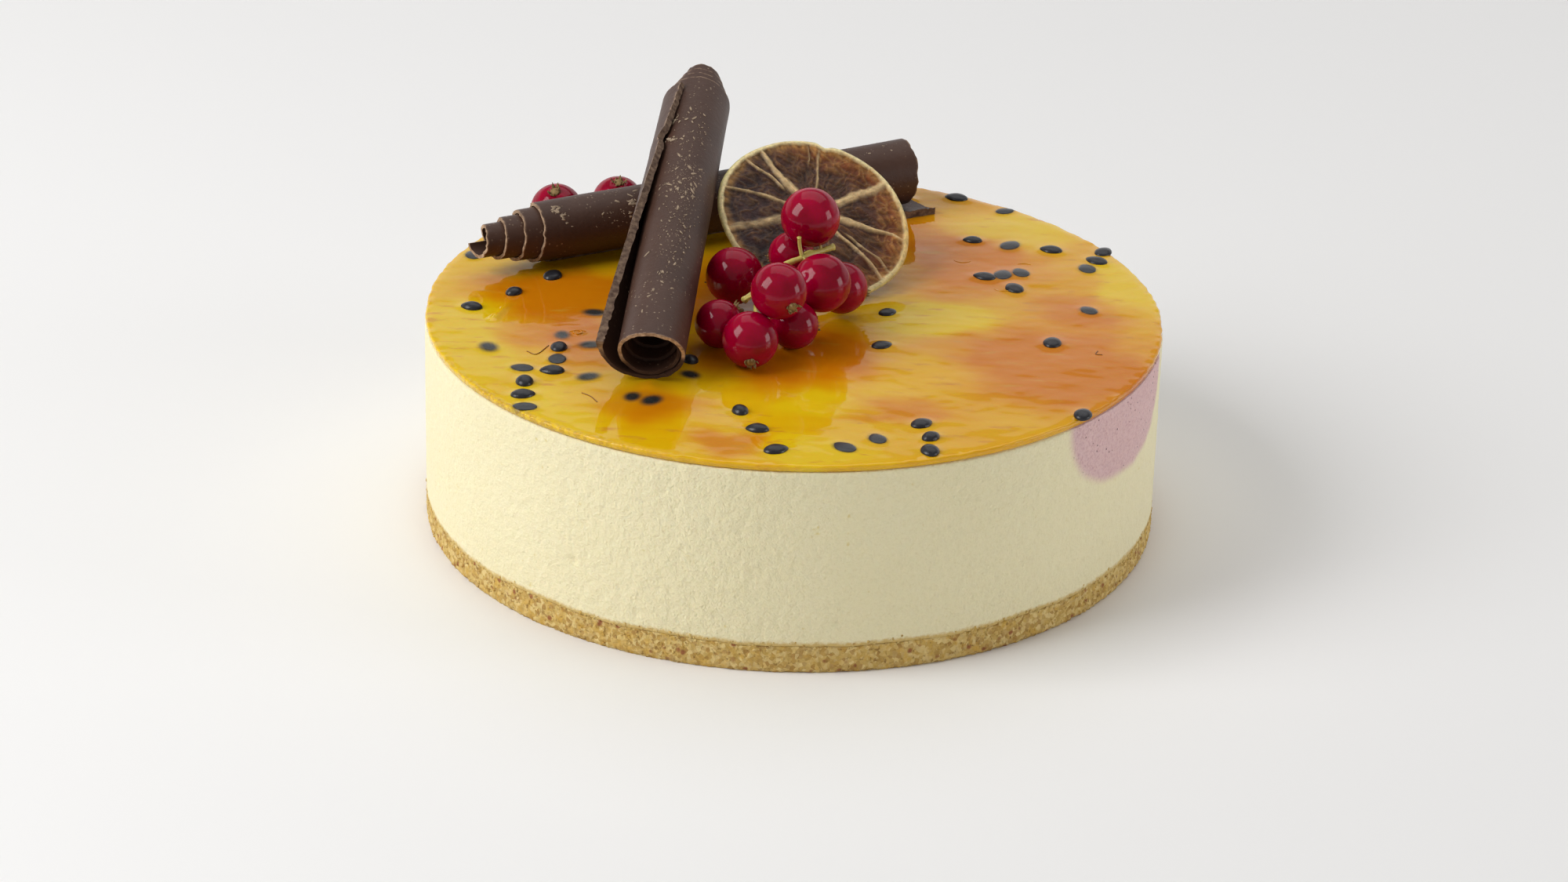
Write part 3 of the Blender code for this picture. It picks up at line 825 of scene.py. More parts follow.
def seed_places():
    """Place, heading, size and depth of every seed, strung along the trails with a seeded scatter.

    Depth is 0 where the seed stands proud of the glaze, 1 where it is level with it and 2 where it is sunk.
    """
    draw = random.Random(SEED_DRAW)
    places = []
    for x0, y0, x1, y1, count in SEED_TRAILS:
        for i in range(count):
            share = i / (count - 1)
            x = (x0 + (x1 - x0) * share) * MM + draw.uniform(-1, 1) * SEED_SCATTER
            y = (y0 + (y1 - y0) * share) * MM + draw.uniform(-1, 1) * SEED_SCATTER
            heading, size = draw.uniform(0, math.pi), draw.uniform(0.88, 1.1)
            chance = draw.random()
            if x < DEEP_SEEDS[0] and y < DEEP_SEEDS[1]:
                depth = 2 if chance < 0.42 else 1 if chance < 0.68 else 0
            else:
                depth = 1 if chance < 0.25 else 0
            places.append((x, y, heading, size, depth))
    return places


def from_seed(x, y, place):
    """Distance from a seed's middle: 1 on its outline."""
    seed_x, seed_y, heading, size, depth = place
    dx, dy = x - seed_x, y - seed_y
    along = dx * math.cos(heading) + dy * math.sin(heading)
    across = -dx * math.sin(heading) + dy * math.cos(heading)
    return np.hypot(along / (SEED_HALF_LENGTH * size), across / (SEED_HALF_WIDTH * size))


def seed_shade(points):
    """Where a seed darkens the glaze from below."""
    shade = np.zeros(len(points))
    for place in seed_places():
        if place[4]:
            blur = 0.42 if place[4] == 2 else 0.30
            far = from_seed(points[:, 0], points[:, 1], place)
            shade = np.maximum(shade, 1 - ramp(far, 1 - blur, 1 + blur))
    return shade


def distance_to_line(x, y, start, end):
    """Distance to a line, or to its start where it has no length."""
    along = np.array(end) - np.array(start)
    length_squared = max(along @ along, 1e-12)
    share = np.clip(((x - start[0]) * along[0] + (y - start[1]) * along[1]) / length_squared, 0, 1)
    return np.hypot(x - start[0] - share * along[0], y - start[1] - share * along[1])


def glaze_height(points):
    """Height of the glaze's surface: faint waves, and a small rise where something sits in it."""
    x, y = points[:, 0], points[:, 1]
    flat = np.stack([x, y * 1.6, np.zeros(len(x))], 1)
    height = 0.060 * noise_of(flat, 19 * MM, 1.0) + 0.036 * noise_of(flat, 8 * MM, 2.0)
    height += 0.017 * noise_of(flat, 3.4 * MM, 3.0)
    height *= MM
    for place in seed_places():
        rise = (0.16, 0.10, 0.05)[place[4]] * MM
        height += rise * np.exp(-np.maximum(from_seed(x, y, place) - 0.6, 0) ** 2 * 2.2)
    far = np.hypot(x - GLAZE_BUBBLE[0], y - GLAZE_BUBBLE[1])
    height += 0.35 * MM * np.exp(-((far - 0.75 * MM) / (0.3 * MM)) ** 2)
    start, end = GLAZE_WISP
    tapered = ramp(np.hypot(x - end[0], y - end[1]), 0, 6 * MM)
    rises = [(start, end, 0.42 * (0.3 + 0.7 * tapered), 0.7)]
    for (cx, cy, cz), radius, flower in CURRANTS.values():
        if cz - radius < BERRY_RESTS_BELOW:
            rises.append(((cx * MM, cy * MM), (cx * MM, cy * MM), 0.75, 2.3))
    back_end = BACK_FOOT + toward(BACK_HEADING) * BACK_LENGTH
    rises.append((BACK_LEFT_END, back_end[:2], 0.5, 1.4))
    front_end = (FRONT_FOOT[0] + math.sin(FRONT_HEADING) * 8 * MM, FRONT_FOOT[1] + 8 * MM)
    rises.append((FRONT_FOOT[:2], front_end, 0.45, 1.8))
    for start, end, rise, spread in rises:
        far = distance_to_line(x, y, start, end)
        height += rise * MM * np.exp(-(far / (spread * MM)) ** 2)
    return height


def on_glaze(x, y, lift=0.0):
    """The place on the glaze's surface at x and y, or a little above or below it."""
    return Vector((x, y, GLAZE_TOP + glaze_height(np.array([(x, y, 0.0)]))[0] + lift))


def orange_and_reflection_share(points):
    """How orange the glaze is: its own swirls, and painted reflection and shade of the rolls and berries."""
    x, y = points[:, 0], points[:, 1]
    flat = np.stack([x, y, np.zeros(len(x))], 1)
    warp_x = 6 * MM * noise_of(flat, 14 * MM, 11.0) + 2 * MM * noise_of(flat, 5 * MM, 12.0)
    warp_y = 5 * MM * noise_of(flat, 14 * MM, 13.0) + 2 * MM * noise_of(flat, 5 * MM, 14.0)
    share = 0.25 + 0.10 * noise_of(flat, 22 * MM, 15.0)
    for cx, cy, half_width, half_depth, strength in GLAZE_PATCHES_AND_REFLECTIONS:
        far = np.hypot((x + warp_x - cx * MM) / (half_width * MM), (y + warp_y - cy * MM) / (half_depth * MM))
        share += strength * np.exp(-far ** 4 * 0.8)
    streaks = np.stack([x * 0.25, y, np.zeros(len(x))], 1)
    share += 0.08 * noise_of(streaks, 2.6 * MM, 16.0)
    near_rim = ramp(np.hypot(x, y), GLAZE_RADIUS - 7 * MM, GLAZE_RADIUS)
    share *= 1 - 0.30 * near_rim * ramp(-x, 10 * MM, 40 * MM)
    share += 0.16 * ramp(x, 8 * MM, 45 * MM) + 0.10 * ramp(x, 50 * MM, 75 * MM)
    share += 0.14 * ramp(y, 20 * MM, 60 * MM)
    return np.clip(share, 0, 1)


def glaze_material():
    look = Look("glaze_look", roughness=0.035, ior=1.45, subsurface_weight=0.2, subsurface_scale=0.003,
                subsurface_radius=(1.0, 0.4, 0.08))
    # The orange share holds the glaze's own swirls and painted reflection and shade of the rolls and berries.
    tint = look.ramp(look.attribute("orange"), ((0.0, (0.80, 0.52, 0.006)), (0.35, (0.76, 0.41, 0.003)),
                                                (0.7, (0.70, 0.285, 0.003)), (1.0, (0.63, 0.195, 0.002))))
    streaks = look.noise(420.0, between=(0.60, 0.78), stretch=(0.35, 1, 1))
    tint = look.mix(streaks, tint, (0.62, 0.27, 0.02))
    beads = look.math(look.attribute("rim"), look.noise(950.0, between=(0.4, 0.6)))
    tint = look.mix(beads, tint, (0.58, 0.33, 0.008))
    tint = look.mix(look.attribute("seed_shade"), tint, (0.030, 0.030, 0.028))
    return look.finish(tint, beads, 0.00010)


def glaze_sheet(material):
    edge = GLAZE_RADIUS
    lip = 0.55 * MM
    profile = [(r, GLAZE_TOP) for r in np.linspace(0, edge - lip, GLAZE_RINGS - 10)]
    for i in range(1, 9):
        turn = math.pi / 2 * i / 8
        profile.append((edge - lip + lip * math.sin(turn), GLAZE_TOP - 0.40 * MM * (1 - math.cos(turn))))
    profile += [(edge - 0.15 * MM, GLAZE_LOW), (edge - 8 * MM, GLAZE_LOW), (0, GLAZE_LOW)]
    points = turned_points(profile, GLAZE_AROUND)
    upper = points[:, 2] > GLAZE_LOW + 0.2 * MM
    where = points[upper]
    radius, headings = polar(where)
    near_rim = ramp(radius, edge - 1.6 * MM, edge - 0.5 * MM)
    round_rim = np.stack([np.cos(headings) * edge, np.sin(headings) * edge, np.zeros(len(where))], 1)
    scallop = np.abs(noise_of(round_rim, 4.5 * MM, 31.0)) + 0.4 * noise_of(round_rim, 1.6 * MM, 32.0)
    where[:, 2] += glaze_height(where) * (1 - near_rim) + 0.22 * MM * near_rim * (scallop - 0.55)
    inward = 0.3 * MM * near_rim * (0.5 - noise_of(round_rim, 2.6 * MM, 33.0))
    push_out(where, -np.clip(inward, 0, None))
    points[upper] = where
    cover = turned_piece("glaze", points, GLAZE_AROUND, material, "glaze", "passionfruit_glaze")
    store(cover, "orange", orange_and_reflection_share(points))
    store(cover, "seed_shade", seed_shade(points) * upper)
    radius, headings = polar(points)
    beaded = np.exp(-((headings - BEADS_HEADING) / BEADS_SPREAD) ** 2)
    store(cover, "rim", beaded * ramp(radius, edge - 1.2 * MM, edge - 0.3 * MM))
    return cover


def seed_material():
    look = Look("seed_look", roughness=0.28, ior=1.42)
    tint = look.mix(look.noise(700.0), (0.010, 0.010, 0.013), (0.034, 0.034, 0.041))
    # Seeds level with the glaze are mixed towards grey-blue: a painted reflection of the glaze's sheen over
    # them.
    tint = look.mix(look.attribute("painted_sheen"), tint, (0.050, 0.052, 0.055))
    return look.finish(tint, look.noise(2600.0, 2.0), 0.00006)


def seeds(material):
    """Flattened teardrops, some proud of the glaze and some lying almost under its surface."""
    draw = random.Random(PROUD_DRAW)
    unit, faces = globe(SEED_AROUND, SEED_RINGS)
    meshes = []
    painted_sheen = []
    for x, y, heading, size, depth in seed_places():
        proud = draw.uniform(1.0, 1.35) * (0.72 if x > FLAT_SEEDS[0] and y > FLAT_SEEDS[1] else 1)
        rise = (proud, 0.30, 0.20)[depth]
        centre = on_glaze(x, y, (0, 0, -0.5)[depth] * MM)
        turn = Matrix.Rotation(heading, 3, "Z")
        vertices = []
        for v in unit:
            taper = 1 - 0.28 * max(v.x, 0) ** 1.4
            high = rise if v.z > 0 else (0.8 if depth == 0 else 0.2)
            flat = Vector((v.x * SEED_HALF_LENGTH * size, v.y * taper * SEED_HALF_WIDTH * size,
                           v.z * taper * high * MM))
            vertices.append(centre + turn @ flat)
        # Half of the painted reflection of the glaze's sheen, on seeds level with the glaze.
        painted_sheen += [0.5 * (depth == 1)] * len(vertices)
        meshes.append((vertices, faces))
    made = join_meshes("passionfruit_seeds", meshes, material, "glaze")
    store(made, "painted_sheen", painted_sheen)
    return made


def glaze_ripples(material):
    """Thin raised rings and crescents in the glaze."""
    meshes = []
    steps = range(RIPPLE_POINTS)
    radii = [0.16 * MM * math.sin(math.pi * (k + 0.6) / (RIPPLE_POINTS + 0.2)) ** 0.5 for k in steps]
    for cx, cy, radius, start, end in RIPPLES:
        places = []
        for k in steps:
            spot = toward(math.radians(start + (end - start) * k / (RIPPLE_POINTS - 1))) * radius
            places.append(on_glaze((cx + spot.x) * MM, (cy + spot.y) * MM))
        meshes.append(tube(places, radii, 10))
    made = join_meshes("glaze_ripples", meshes, material, "glaze")
    store(made, "orange", orange_and_reflection_share(places_of(made)))
    return made


def fruit_threads():
    """Hair-thin brown fibres lying on the glaze."""
    look = Look("thread_look", roughness=0.4, specular_ior_level=0.4)
    material = look.finish(look.mix(look.noise(900.0), (0.16, 0.06, 0.012), (0.30, 0.12, 0.02)))
    meshes = []
    for spots in THREADS:
        line = smooth_line([on_glaze(x * MM, y * MM, 0.05 * MM) for x, y in spots], 8)
        meshes.append(tube(line, [0.11 * MM] * len(line), 8))
    return join_meshes("fruit_threads", meshes, material, "glaze")


# Chocolate rolls

def roll_axes(heading, tilt):
    """Unit vectors along a roll, level across it, and upwards across it."""
    along = toward(heading) * math.cos(tilt) + Vector((0, 0, math.sin(tilt)))
    across = along.cross(Vector((0, 0, 1))).normalized()
    return along, across, across.cross(along)


BACK_AXES = roll_axes(BACK_HEADING, 0)
FRONT_AXES = roll_axes(math.pi / 2 - FRONT_HEADING, FRONT_TILT)


def ragged(share, along_sheet, seed):
    """A shift of the sheet's cut ends, none in its middle."""
    coarse = lump(along_sheet * 23, share * 3, seed)
    fine = lump(along_sheet * 90, share * 3, seed + 5)
    return MM * abs(2 * share - 1) ** 8 * (0.24 * coarse + 0.26 * fine)


def chocolate_materials():
    """The looks of the sheet's faces and of its cut and broken edges."""
    look = Look("chocolate_look", roughness=0.46, specular_ior_level=0.30)
    dark = look.mix(look.noise(90.0, 5.0, 0.6), (0.044, 0.0185, 0.0112), (0.096, 0.046, 0.030))
    group = look.noise(85.0, between=(0.48, 0.60))
    flecks = look.math(look.specks(1150.0, "Red", (0.60, 0.64), (0.30, 0.12)), group)
    tint = look.mix(flecks, dark, (0.30, 0.215, 0.145))
    # A thin painted highlight along the sheet's cut ends and free edge on its outer face.
    edge_highlight = look.math(look.attribute("edge_highlight"), look.noise(1000.0, 2.0, between=(0.38, 0.56)))
    tint = look.mix(edge_highlight, tint, (0.40, 0.265, 0.17))
    skin = look.finish(tint, look.noise(800.0, 5.0, 0.6), 0.00010)
    look = Look("chocolate_edge_look", roughness=0.85, specular_ior_level=0.2)
    crumbs = look.noise(900.0, 4.0, between=(0.35, 0.70))
    cut_end = look.mix(crumbs, (0.24, 0.15, 0.095), (0.58, 0.40, 0.26))
    broken = look.mix(crumbs, (0.090, 0.052, 0.037), (0.25, 0.165, 0.108))
    tint = look.mix(look.attribute("free"), cut_end, broken)
    # Painted shade: the cut ends of the inner wraps and of the underside near the foot are darkened.
    tint = look.mix(look.attribute("inner"), tint, (0.060, 0.034, 0.025))
    return [skin, look.finish(tint, look.noise(1100.0, 4.0, 0.7), 0.00025)]


def sheet_lift(share, row, side, inner_burr, outer_burr, burr_share=BURR_SHARE):
    """Distance of one face of the sheet from its middle, growing to a thick crumbly rim at the free edge."""
    crumbly = lump(row * 38, 2.0, side) + 0.6 * lump(row * 120, 6.0, side)
    burr = (outer_burr if side == 1 else inner_burr) * (1 + 0.45 * crumbly)
    return side * (SHEET_THICKNESS / 2 + burr * math.exp(-share / burr_share))


def rolled_sheet(name, node_name, materials, length, wound_length, shape, shade):
    """A closed sheet given by shape(share from the free edge, share along the roll, side).

    side is 1 on the outer face and -1 on the inner one. Points lie closer together near the cut ends.
    shade(share, row) is the painted shade that darkens the cut end, in the roll's recess and under it.
    """
    rows = [j / SHEET_ROWS - 0.11 * math.sin(TAU * j / SHEET_ROWS) for j in range(SHEET_ROWS + 1)]
    shares = [(i / SHEET_COLUMNS) ** 1.25 for i in range(SHEET_COLUMNS + 1)]
    points = []
    marks = []
    for side in (1, -1):
        for share in shares:
            for row in rows:
                from_edge = min(min(row, 1 - row) * length, share * wound_length)
                # Painted shade of the cut end, kept in the attribute inner.
                dark = shade(share, row)
                # Painted highlight along the outer face's edges, left out where painted shade falls.
                edge_highlight = (1 - dark) * math.exp(-(from_edge / EDGE_HIGHLIGHT_WIDTH) ** 2) if side == 1 else 0
                marks.append((dark, math.exp(-share / 0.004), edge_highlight))
                slant = 0
                if side == 1:
                    crumbly = lump(row * 45, 4.0, 0) + lump(row * 130, 8.0, 0)
                    slant = SLANT_SHARE * (1 + 0.7 * crumbly) * (1 - share) ** 8
                points.append(shape(share + slant, row, side))
    sides, edges = sheet_faces(SHEET_COLUMNS, SHEET_ROWS)
    sheet = piece(name, points, sides + edges, materials, "chocolate", node_name)
    for face in sheet.data.polygons[len(sides):]:
        face.material_index = 1
    for key, values in zip(("inner", "free", "edge_highlight"), zip(*marks)):
        store(sheet, key, values)
    face_outward(sheet)
    sheet.data.set_sharp_from_angle(angle=math.radians(45))
    return sheet


def back_roll(materials):
    along, front, up = BACK_AXES
    radius = BACK_RADIUS - SHEET_THICKNESS / 2

    def shape(share, row, side):
        out = max(1 - share / BACK_FLAP_SHARE, 0)
        turns = SPIRAL_TURNS * max(share - BACK_FLAP_SHARE, 0) / (1 - BACK_FLAP_SHARE)
        angle = -math.pi / 2 - TAU * turns
        opened = step(row, 0.50, 0.80)
        wide = row ** 2
        reach = radius - SPIRAL_PITCH * turns + BACK_WIDENS * wide
        reach += sheet_lift(share, row, side, 1.5 * MM * opened, 0, BACK_BURR_SHARE)
        reach += 0.10 * MM * lump(turns * 3, row * 4, 2.0)
        flap = BACK_FLAP * (0.06 + 0.94 * opened) * out
        slide = BACK_TELESCOPE * (turns - 0.22 * out)
        level = front * (reach * math.cos(angle) + flap + BACK_SHIFT[0] * wide)
        level += up * (reach * math.sin(angle) + BACK_SHIFT[1] * wide)
        return BACK_FOOT + level + along * (BACK_LENGTH * row + slide + ragged(row, share * 4, 3.5))

    return rolled_sheet("back_roll", "chocolate_roll_back", materials, BACK_LENGTH, BACK_UNROLLED, shape,
                        lambda share, row: 0)


def front_roll(materials):
    along, right, up = FRONT_AXES
    radius = FRONT_RADIUS - SHEET_THICKNESS / 2
    inner_edge = FRONT_EDGE_FOOT + TAU * SPIRAL_TURNS

    def shape(share, row, side):
        free_edge = FRONT_EDGE_FOOT + (FRONT_EDGE_TOP - FRONT_EDGE_FOOT) * row
        free_edge += 0.05 * lump(row * 28, 3.0, 0) + 0.03 * lump(row * 90, 9, 0)
        free_edge += 0.16 * math.exp(-((row - FRONT_NOTCH) / 0.018) ** 2)
        angle = free_edge + (inner_edge - free_edge) * share
        turns = (angle - FRONT_EDGE_FOOT) / TAU
        flare = FRONT_FLARE_FOOT + (FRONT_FLARE_TOP - FRONT_FLARE_FOOT) * row
        reach = radius - SPIRAL_PITCH * turns
        reach += sheet_lift(share, row, side, (1.05 - 0.65 * row) * MM, (0.05 + 0.15 * row) * MM)
        reach += flare * max(1 - (angle - free_edge) / FRONT_FLARE_SPAN, 0) ** 1.5
        reach += 0.10 * MM * lump(turns * 3, row * 4, 7.0)
        level = right * reach * math.cos(angle) + up * reach * math.sin(angle)
        recess = max(turns - FRONT_RECESS_STARTS, 0)
        slide = FRONT_TELESCOPE * (turns * row + recess * (1 - row)) + ragged(row, share * 4, 8.5)
        lip = max(math.sin(angle), 0) * (1 - step(turns, 0.9, 1.5)) + 0.4 * min(math.sin(angle), 0)
        slide -= FRONT_LIP * lip * (1 - row) ** 2
        return Vector(FRONT_FOOT) + level + along * (FRONT_LENGTH * row + slide)

    # Painted shade on the cut end: the wraps set back inside the roll, and its underside, darker towards the
    # foot.
    def shade(share, row):
        angle = FRONT_EDGE_FOOT + (inner_edge - FRONT_EDGE_FOOT) * share
        low = -0.3 if share < 0.12 else 0.1
        return max(step(share, 0.31, 0.36), step(-math.sin(angle), low, low + 0.6)) * (1 - row)

    return rolled_sheet("front_roll", "chocolate_roll_front", materials, FRONT_LENGTH, FRONT_UNROLLED, shape,
                        shade)


def chip_place(roll, far, heading):
    """Middle of a chip on the front roll (0) or back roll (1), and the ways along the roll and out of it."""
    angle = math.radians(heading)
    if roll == 0:
        (along, across, up), foot = FRONT_AXES, Vector(FRONT_FOOT)
        turns = (angle + TAU - FRONT_EDGE_FOOT) / TAU
        if heading > PAST_FREE_EDGE:
            turns -= 1
        far += FRONT_TELESCOPE * max(turns, 0) * far / FRONT_LENGTH
        reach = FRONT_RADIUS - SPIRAL_PITCH * turns
    else:
        along, across, up = BACK_AXES
        wide = (far / BACK_LENGTH) ** 2
        foot = BACK_FOOT + across * BACK_SHIFT[0] * wide + up * BACK_SHIFT[1] * wide
        reach = BACK_RADIUS - SPIRAL_PITCH * (TAU - math.pi / 2 - angle) / TAU + BACK_WIDENS * wide
    outward = across * math.cos(angle) + up * math.sin(angle)
    return foot + along * far + outward * (reach + 0.02 * MM), along, outward


def roll_flakes():
    """Thin pale chips and dust of scraped chocolate on the two rolls, densest along their upper sides."""
    look = Look("chocolate_flake_look", roughness=0.8, specular_ior_level=0.2)
    material = look.finish(look.mix(look.noise(700.0), (0.16, 0.105, 0.07), (0.56, 0.43, 0.30)))
    draw = random.Random(FLAKE_DRAW)
    chips = []
    for i in range(FRONT_FLAKES):
        chips.append((0, draw.triangular(0.02, 0.95, 0.50) * FRONT_LENGTH, draw.gauss(78, 20)))
    for i in range(BACK_FLAKES):
        chips.append((1, draw.uniform(0.10, 0.96) * BACK_LENGTH, draw.gauss(55, 28)))
    for roll, middle_far, middle_heading, spread, count in ROUGH_SPOTS:
        for i in range(count):
            far = (middle_far + abs(draw.gauss(0, spread))) * MM
            chips.append((roll, far, middle_heading + draw.gauss(0, spread * 7)))
    coarse, fine = ball(1), ball(2)
    meshes = []
    for i, chip in enumerate(chips):
        middle, along, outward = chip_place(*chip)
        sideways = along.cross(outward)
        size = min(abs(draw.gauss(0, 0.10)) + 0.06, 0.35) * MM
        if i % 16 == 0 or i >= FRONT_FLAKES + BACK_FLAKES and i % 3 == 0:
            size = draw.uniform(0.3, 0.55) * MM
        long_side = size * draw.uniform(0.8, 1.9)
        turn = draw.uniform(-0.9, 0.9)
        ahead = along * math.cos(turn) + sideways * math.sin(turn)
        beside = sideways * math.cos(turn) - along * math.sin(turn)
        vertices, polygons = fine if size > 0.2 * MM else coarse
        moved = []
        for v in vertices:
            rough = 1 + 0.9 * noise.noise(v * 1.5 + Vector((i * 2.7, 0, 0)))
            moved.append(middle + (ahead * v.x * long_side + beside * v.y * size * 0.55) * rough
                         + outward * v.z * 0.07 * MM)
        meshes.append((moved, polygons))
    return join_meshes("chocolate_flakes", meshes, material, "chocolate")


# Dried lime slice

def lime_material():
    look = Look("lime_look", roughness=0.34, subsurface_weight=0.1, subsurface_scale=0.0008,
                specular_ior_level=0.22)
    grain = look.noise(900.0, 4.0, 0.6)
    mottled = look.mix(look.between(grain, 0.3, 0.7), (0.66, 0.64, 0.62), (1.18, 1.16, 1.12))
    tint = look.mix(1.0, look.attribute("tint", "Color"), mottled, "MULTIPLY")
    return look.finish(tint, grain, 0.00035)


def lime_wall(from_hub, hub_heading):
    """How much a place on the slice belongs to a wall between segments, from its distance and heading."""
    share = 0.0
    outward = min(from_hub / LIME_RADIUS, 1)
    for heading, at_hub, at_rim, start, shown in LIME_WALLS:
        heading = math.radians(heading)
        bend = 0.07 * lump(from_hub / MM * 0.16, heading * 3, 1.0)
        turned = wrapped(hub_heading - heading - bend)
        if abs(turned) < math.pi / 2 and outward > start:
            wide = (at_hub + (at_rim - at_hub) * outward ** 0.6) * MM
            wide *= 1.0 + 0.3 * lump(from_hub / MM * 0.6, heading, 7)
            begun = step(outward, start, start + 0.1) if start else 1
            begun *= shown + (1 - shown) * lump(from_hub / MM * 0.5, heading, 3)
            share = max(share, begun * (1 - step(abs(math.sin(turned)) * from_hub / wide, 0.2, 1.3)))
    return share


def lime_point(share, heading, side):
    """Place and colour of a point of the slice, a share of the way out to the rim on one of its sides."""
    edge = LIME_RADIUS + 0.25 * MM * noise.noise(toward(heading) * 2.5 + Vector((0, 0, 10)))
    edge -= 1.0 * MM * math.exp(-(wrapped(heading - LIME_DENT) / 0.07) ** 2)
    radius = share * edge
    x, y = radius * math.cos(heading), radius * math.sin(heading)
    hub_x, hub_y = x - LIME_HUB[0], y - LIME_HUB[1]
    from_hub, hub_heading = math.hypot(hub_x, hub_y), math.atan2(hub_y, hub_x)
    hub = 1 - step(from_hub / MM, 1.4, 2.4)
    rough_rim = 0.35 * MM * noise.noise(Vector((x, y, 5)) / (2.2 * MM))
    rim = step(radius + rough_rim, edge - 1.50 * MM, edge - 1.0 * MM)
    pith = max(lime_wall(from_hub, hub_heading), hub, rim)
    fibre = lump(hub_heading * 15, from_hub / MM * 0.30, side * 3.0)
    fibre += 0.5 * lump(hub_heading * 38, from_hub / MM * 0.8, side * 7.0)
    pulp = noise.noise(Vector((x, y, side)) / (3.4 * MM))
    folded = Vector((x + 2.6 * MM * pulp, y - 2.4 * MM * pulp, side * 4)) / (2.1 * MM)
    strand = (1 - min(abs(noise.noise(folded)) * 2.2, 1)) ** 3
    rise = blend(0.28 + 0.10 * fibre + 0.46 * pulp + 0.30 * strand, 0.90 + 0.30 * rim + 0.12 * fibre, pith)
    rise *= math.sqrt(max(1 - share ** 14, 0))
    warp = 0.35 * math.sin(2 * heading + 0.6) * share ** 2
    near_rim = step(share, 0.55, 0.9) * step(math.cos(heading), -0.2, 0.5)
    flesh = blend(FLESH, DARK_FLESH, step(-math.cos(heading) * share, -0.1, 0.6))
    flesh = blend(flesh, RUST_FLESH, 0.7 * near_rim)
    lit = strand * (0.14 + 0.36 * near_rim) + 0.08 * step(fibre, 0.3, 0.9)
    flesh = blend(flesh, AMBER_FLESH, lit)
    flesh = flesh * max(1.0 + 0.35 * fibre + 0.6 * pulp, 0.3)
    toasted = step(radius, edge - 3.4 * MM, edge - 1.5 * MM) * (0.35 + 0.65 * step(fibre, -0.3, 0.4))
    flesh = blend(flesh, AMBER_FLESH, 0.6 * toasted)
    skin = blend(LIME_PITH, LIME_RIND, 0.7 * step(radius, edge - 0.7 * MM, edge - 0.1 * MM))
    skin = blend(skin, LIME_STAIN, 0.5 * math.exp(-(wrapped(heading + 0.45) / 0.5) ** 2) * rim)
    skin = blend(LIME_MEMBRANE * (1 + 0.45 * fibre + 0.25 * hub), skin, rim)
    return Vector((x, y, side * rise * MM + warp * MM)), blend(flesh, skin, pith)


def lime_slice(material):
    turn = Matrix.Rotation(LIME_HEADING, 4, "Z") @ Matrix.Rotation(LIME_TILT, 4, "X")
    place = Matrix.Translation(LIME_CENTRE) @ turn
    shares = list(np.linspace(0, 1, LIME_RINGS))[1:]
    rings = [(share, 1) for share in shares] + [(share, -1) for share in shares[-2::-1]]
    spots = [lime_point(0.0, 0.0, 1)]
    for share, side in rings:
        spots += [lime_point(share, TAU * j / LIME_AROUND, side) for j in range(LIME_AROUND)]
    spots.append(lime_point(0.0, 0.0, -1))
    points = [place @ point for point, colour in spots]
    slice_piece = turned_piece("lime_slice", points, LIME_AROUND, material, "dried_lime", "dried_lime_slice")
    store(slice_piece, "tint", np.clip([colour for point, colour in spots], 0.01, 1))
    return slice_piece


# Currants

def currant_material():
    look = Look("currant_look", roughness=0.4, specular_ior_level=0.0, subsurface_weight=0.35,
                subsurface_scale=0.002, coat_weight=0.68, coat_roughness=0.09, coat_ior=1.42,
                subsurface_radius=(1.0, 0.05, 0.08))
    cloud = look.noise(160.0, between=(0.35, 0.65))
    return look.finish(look.mix(cloud, (0.225, 0.0002, 0.014), (0.35, 0.0003, 0.027)))


def calyx_material():
    look = Look("calyx_look", roughness=0.8, specular_ior_level=0.3)
    return look.finish(look.mix(look.noise(1500.0), (0.07, 0.035, 0.012), (0.50, 0.34, 0.14)))


def currant(name, material):
    centre, radius, flower = CURRANTS[name]
    radius *= BERRY_SWELL * MM
    turn = Vector(flower).to_track_quat("Z", "Y").to_matrix()
    shift = Vector((sum(map(ord, name)), 0, 0))
    unit, faces = globe(BERRY_AROUND, BERRY_RINGS)
    points = []
    for v in unit:
        reach = radius * (1 + 0.012 * noise.noise(v * 1.5 + shift))
        reach -= 0.35 * MM * math.exp(-(v.xy.length / 0.16) ** 2)
        points.append(Vector(centre) * MM + turn @ (v * reach))
    return piece("skin_" + name, points, faces, [material], "currant", name)


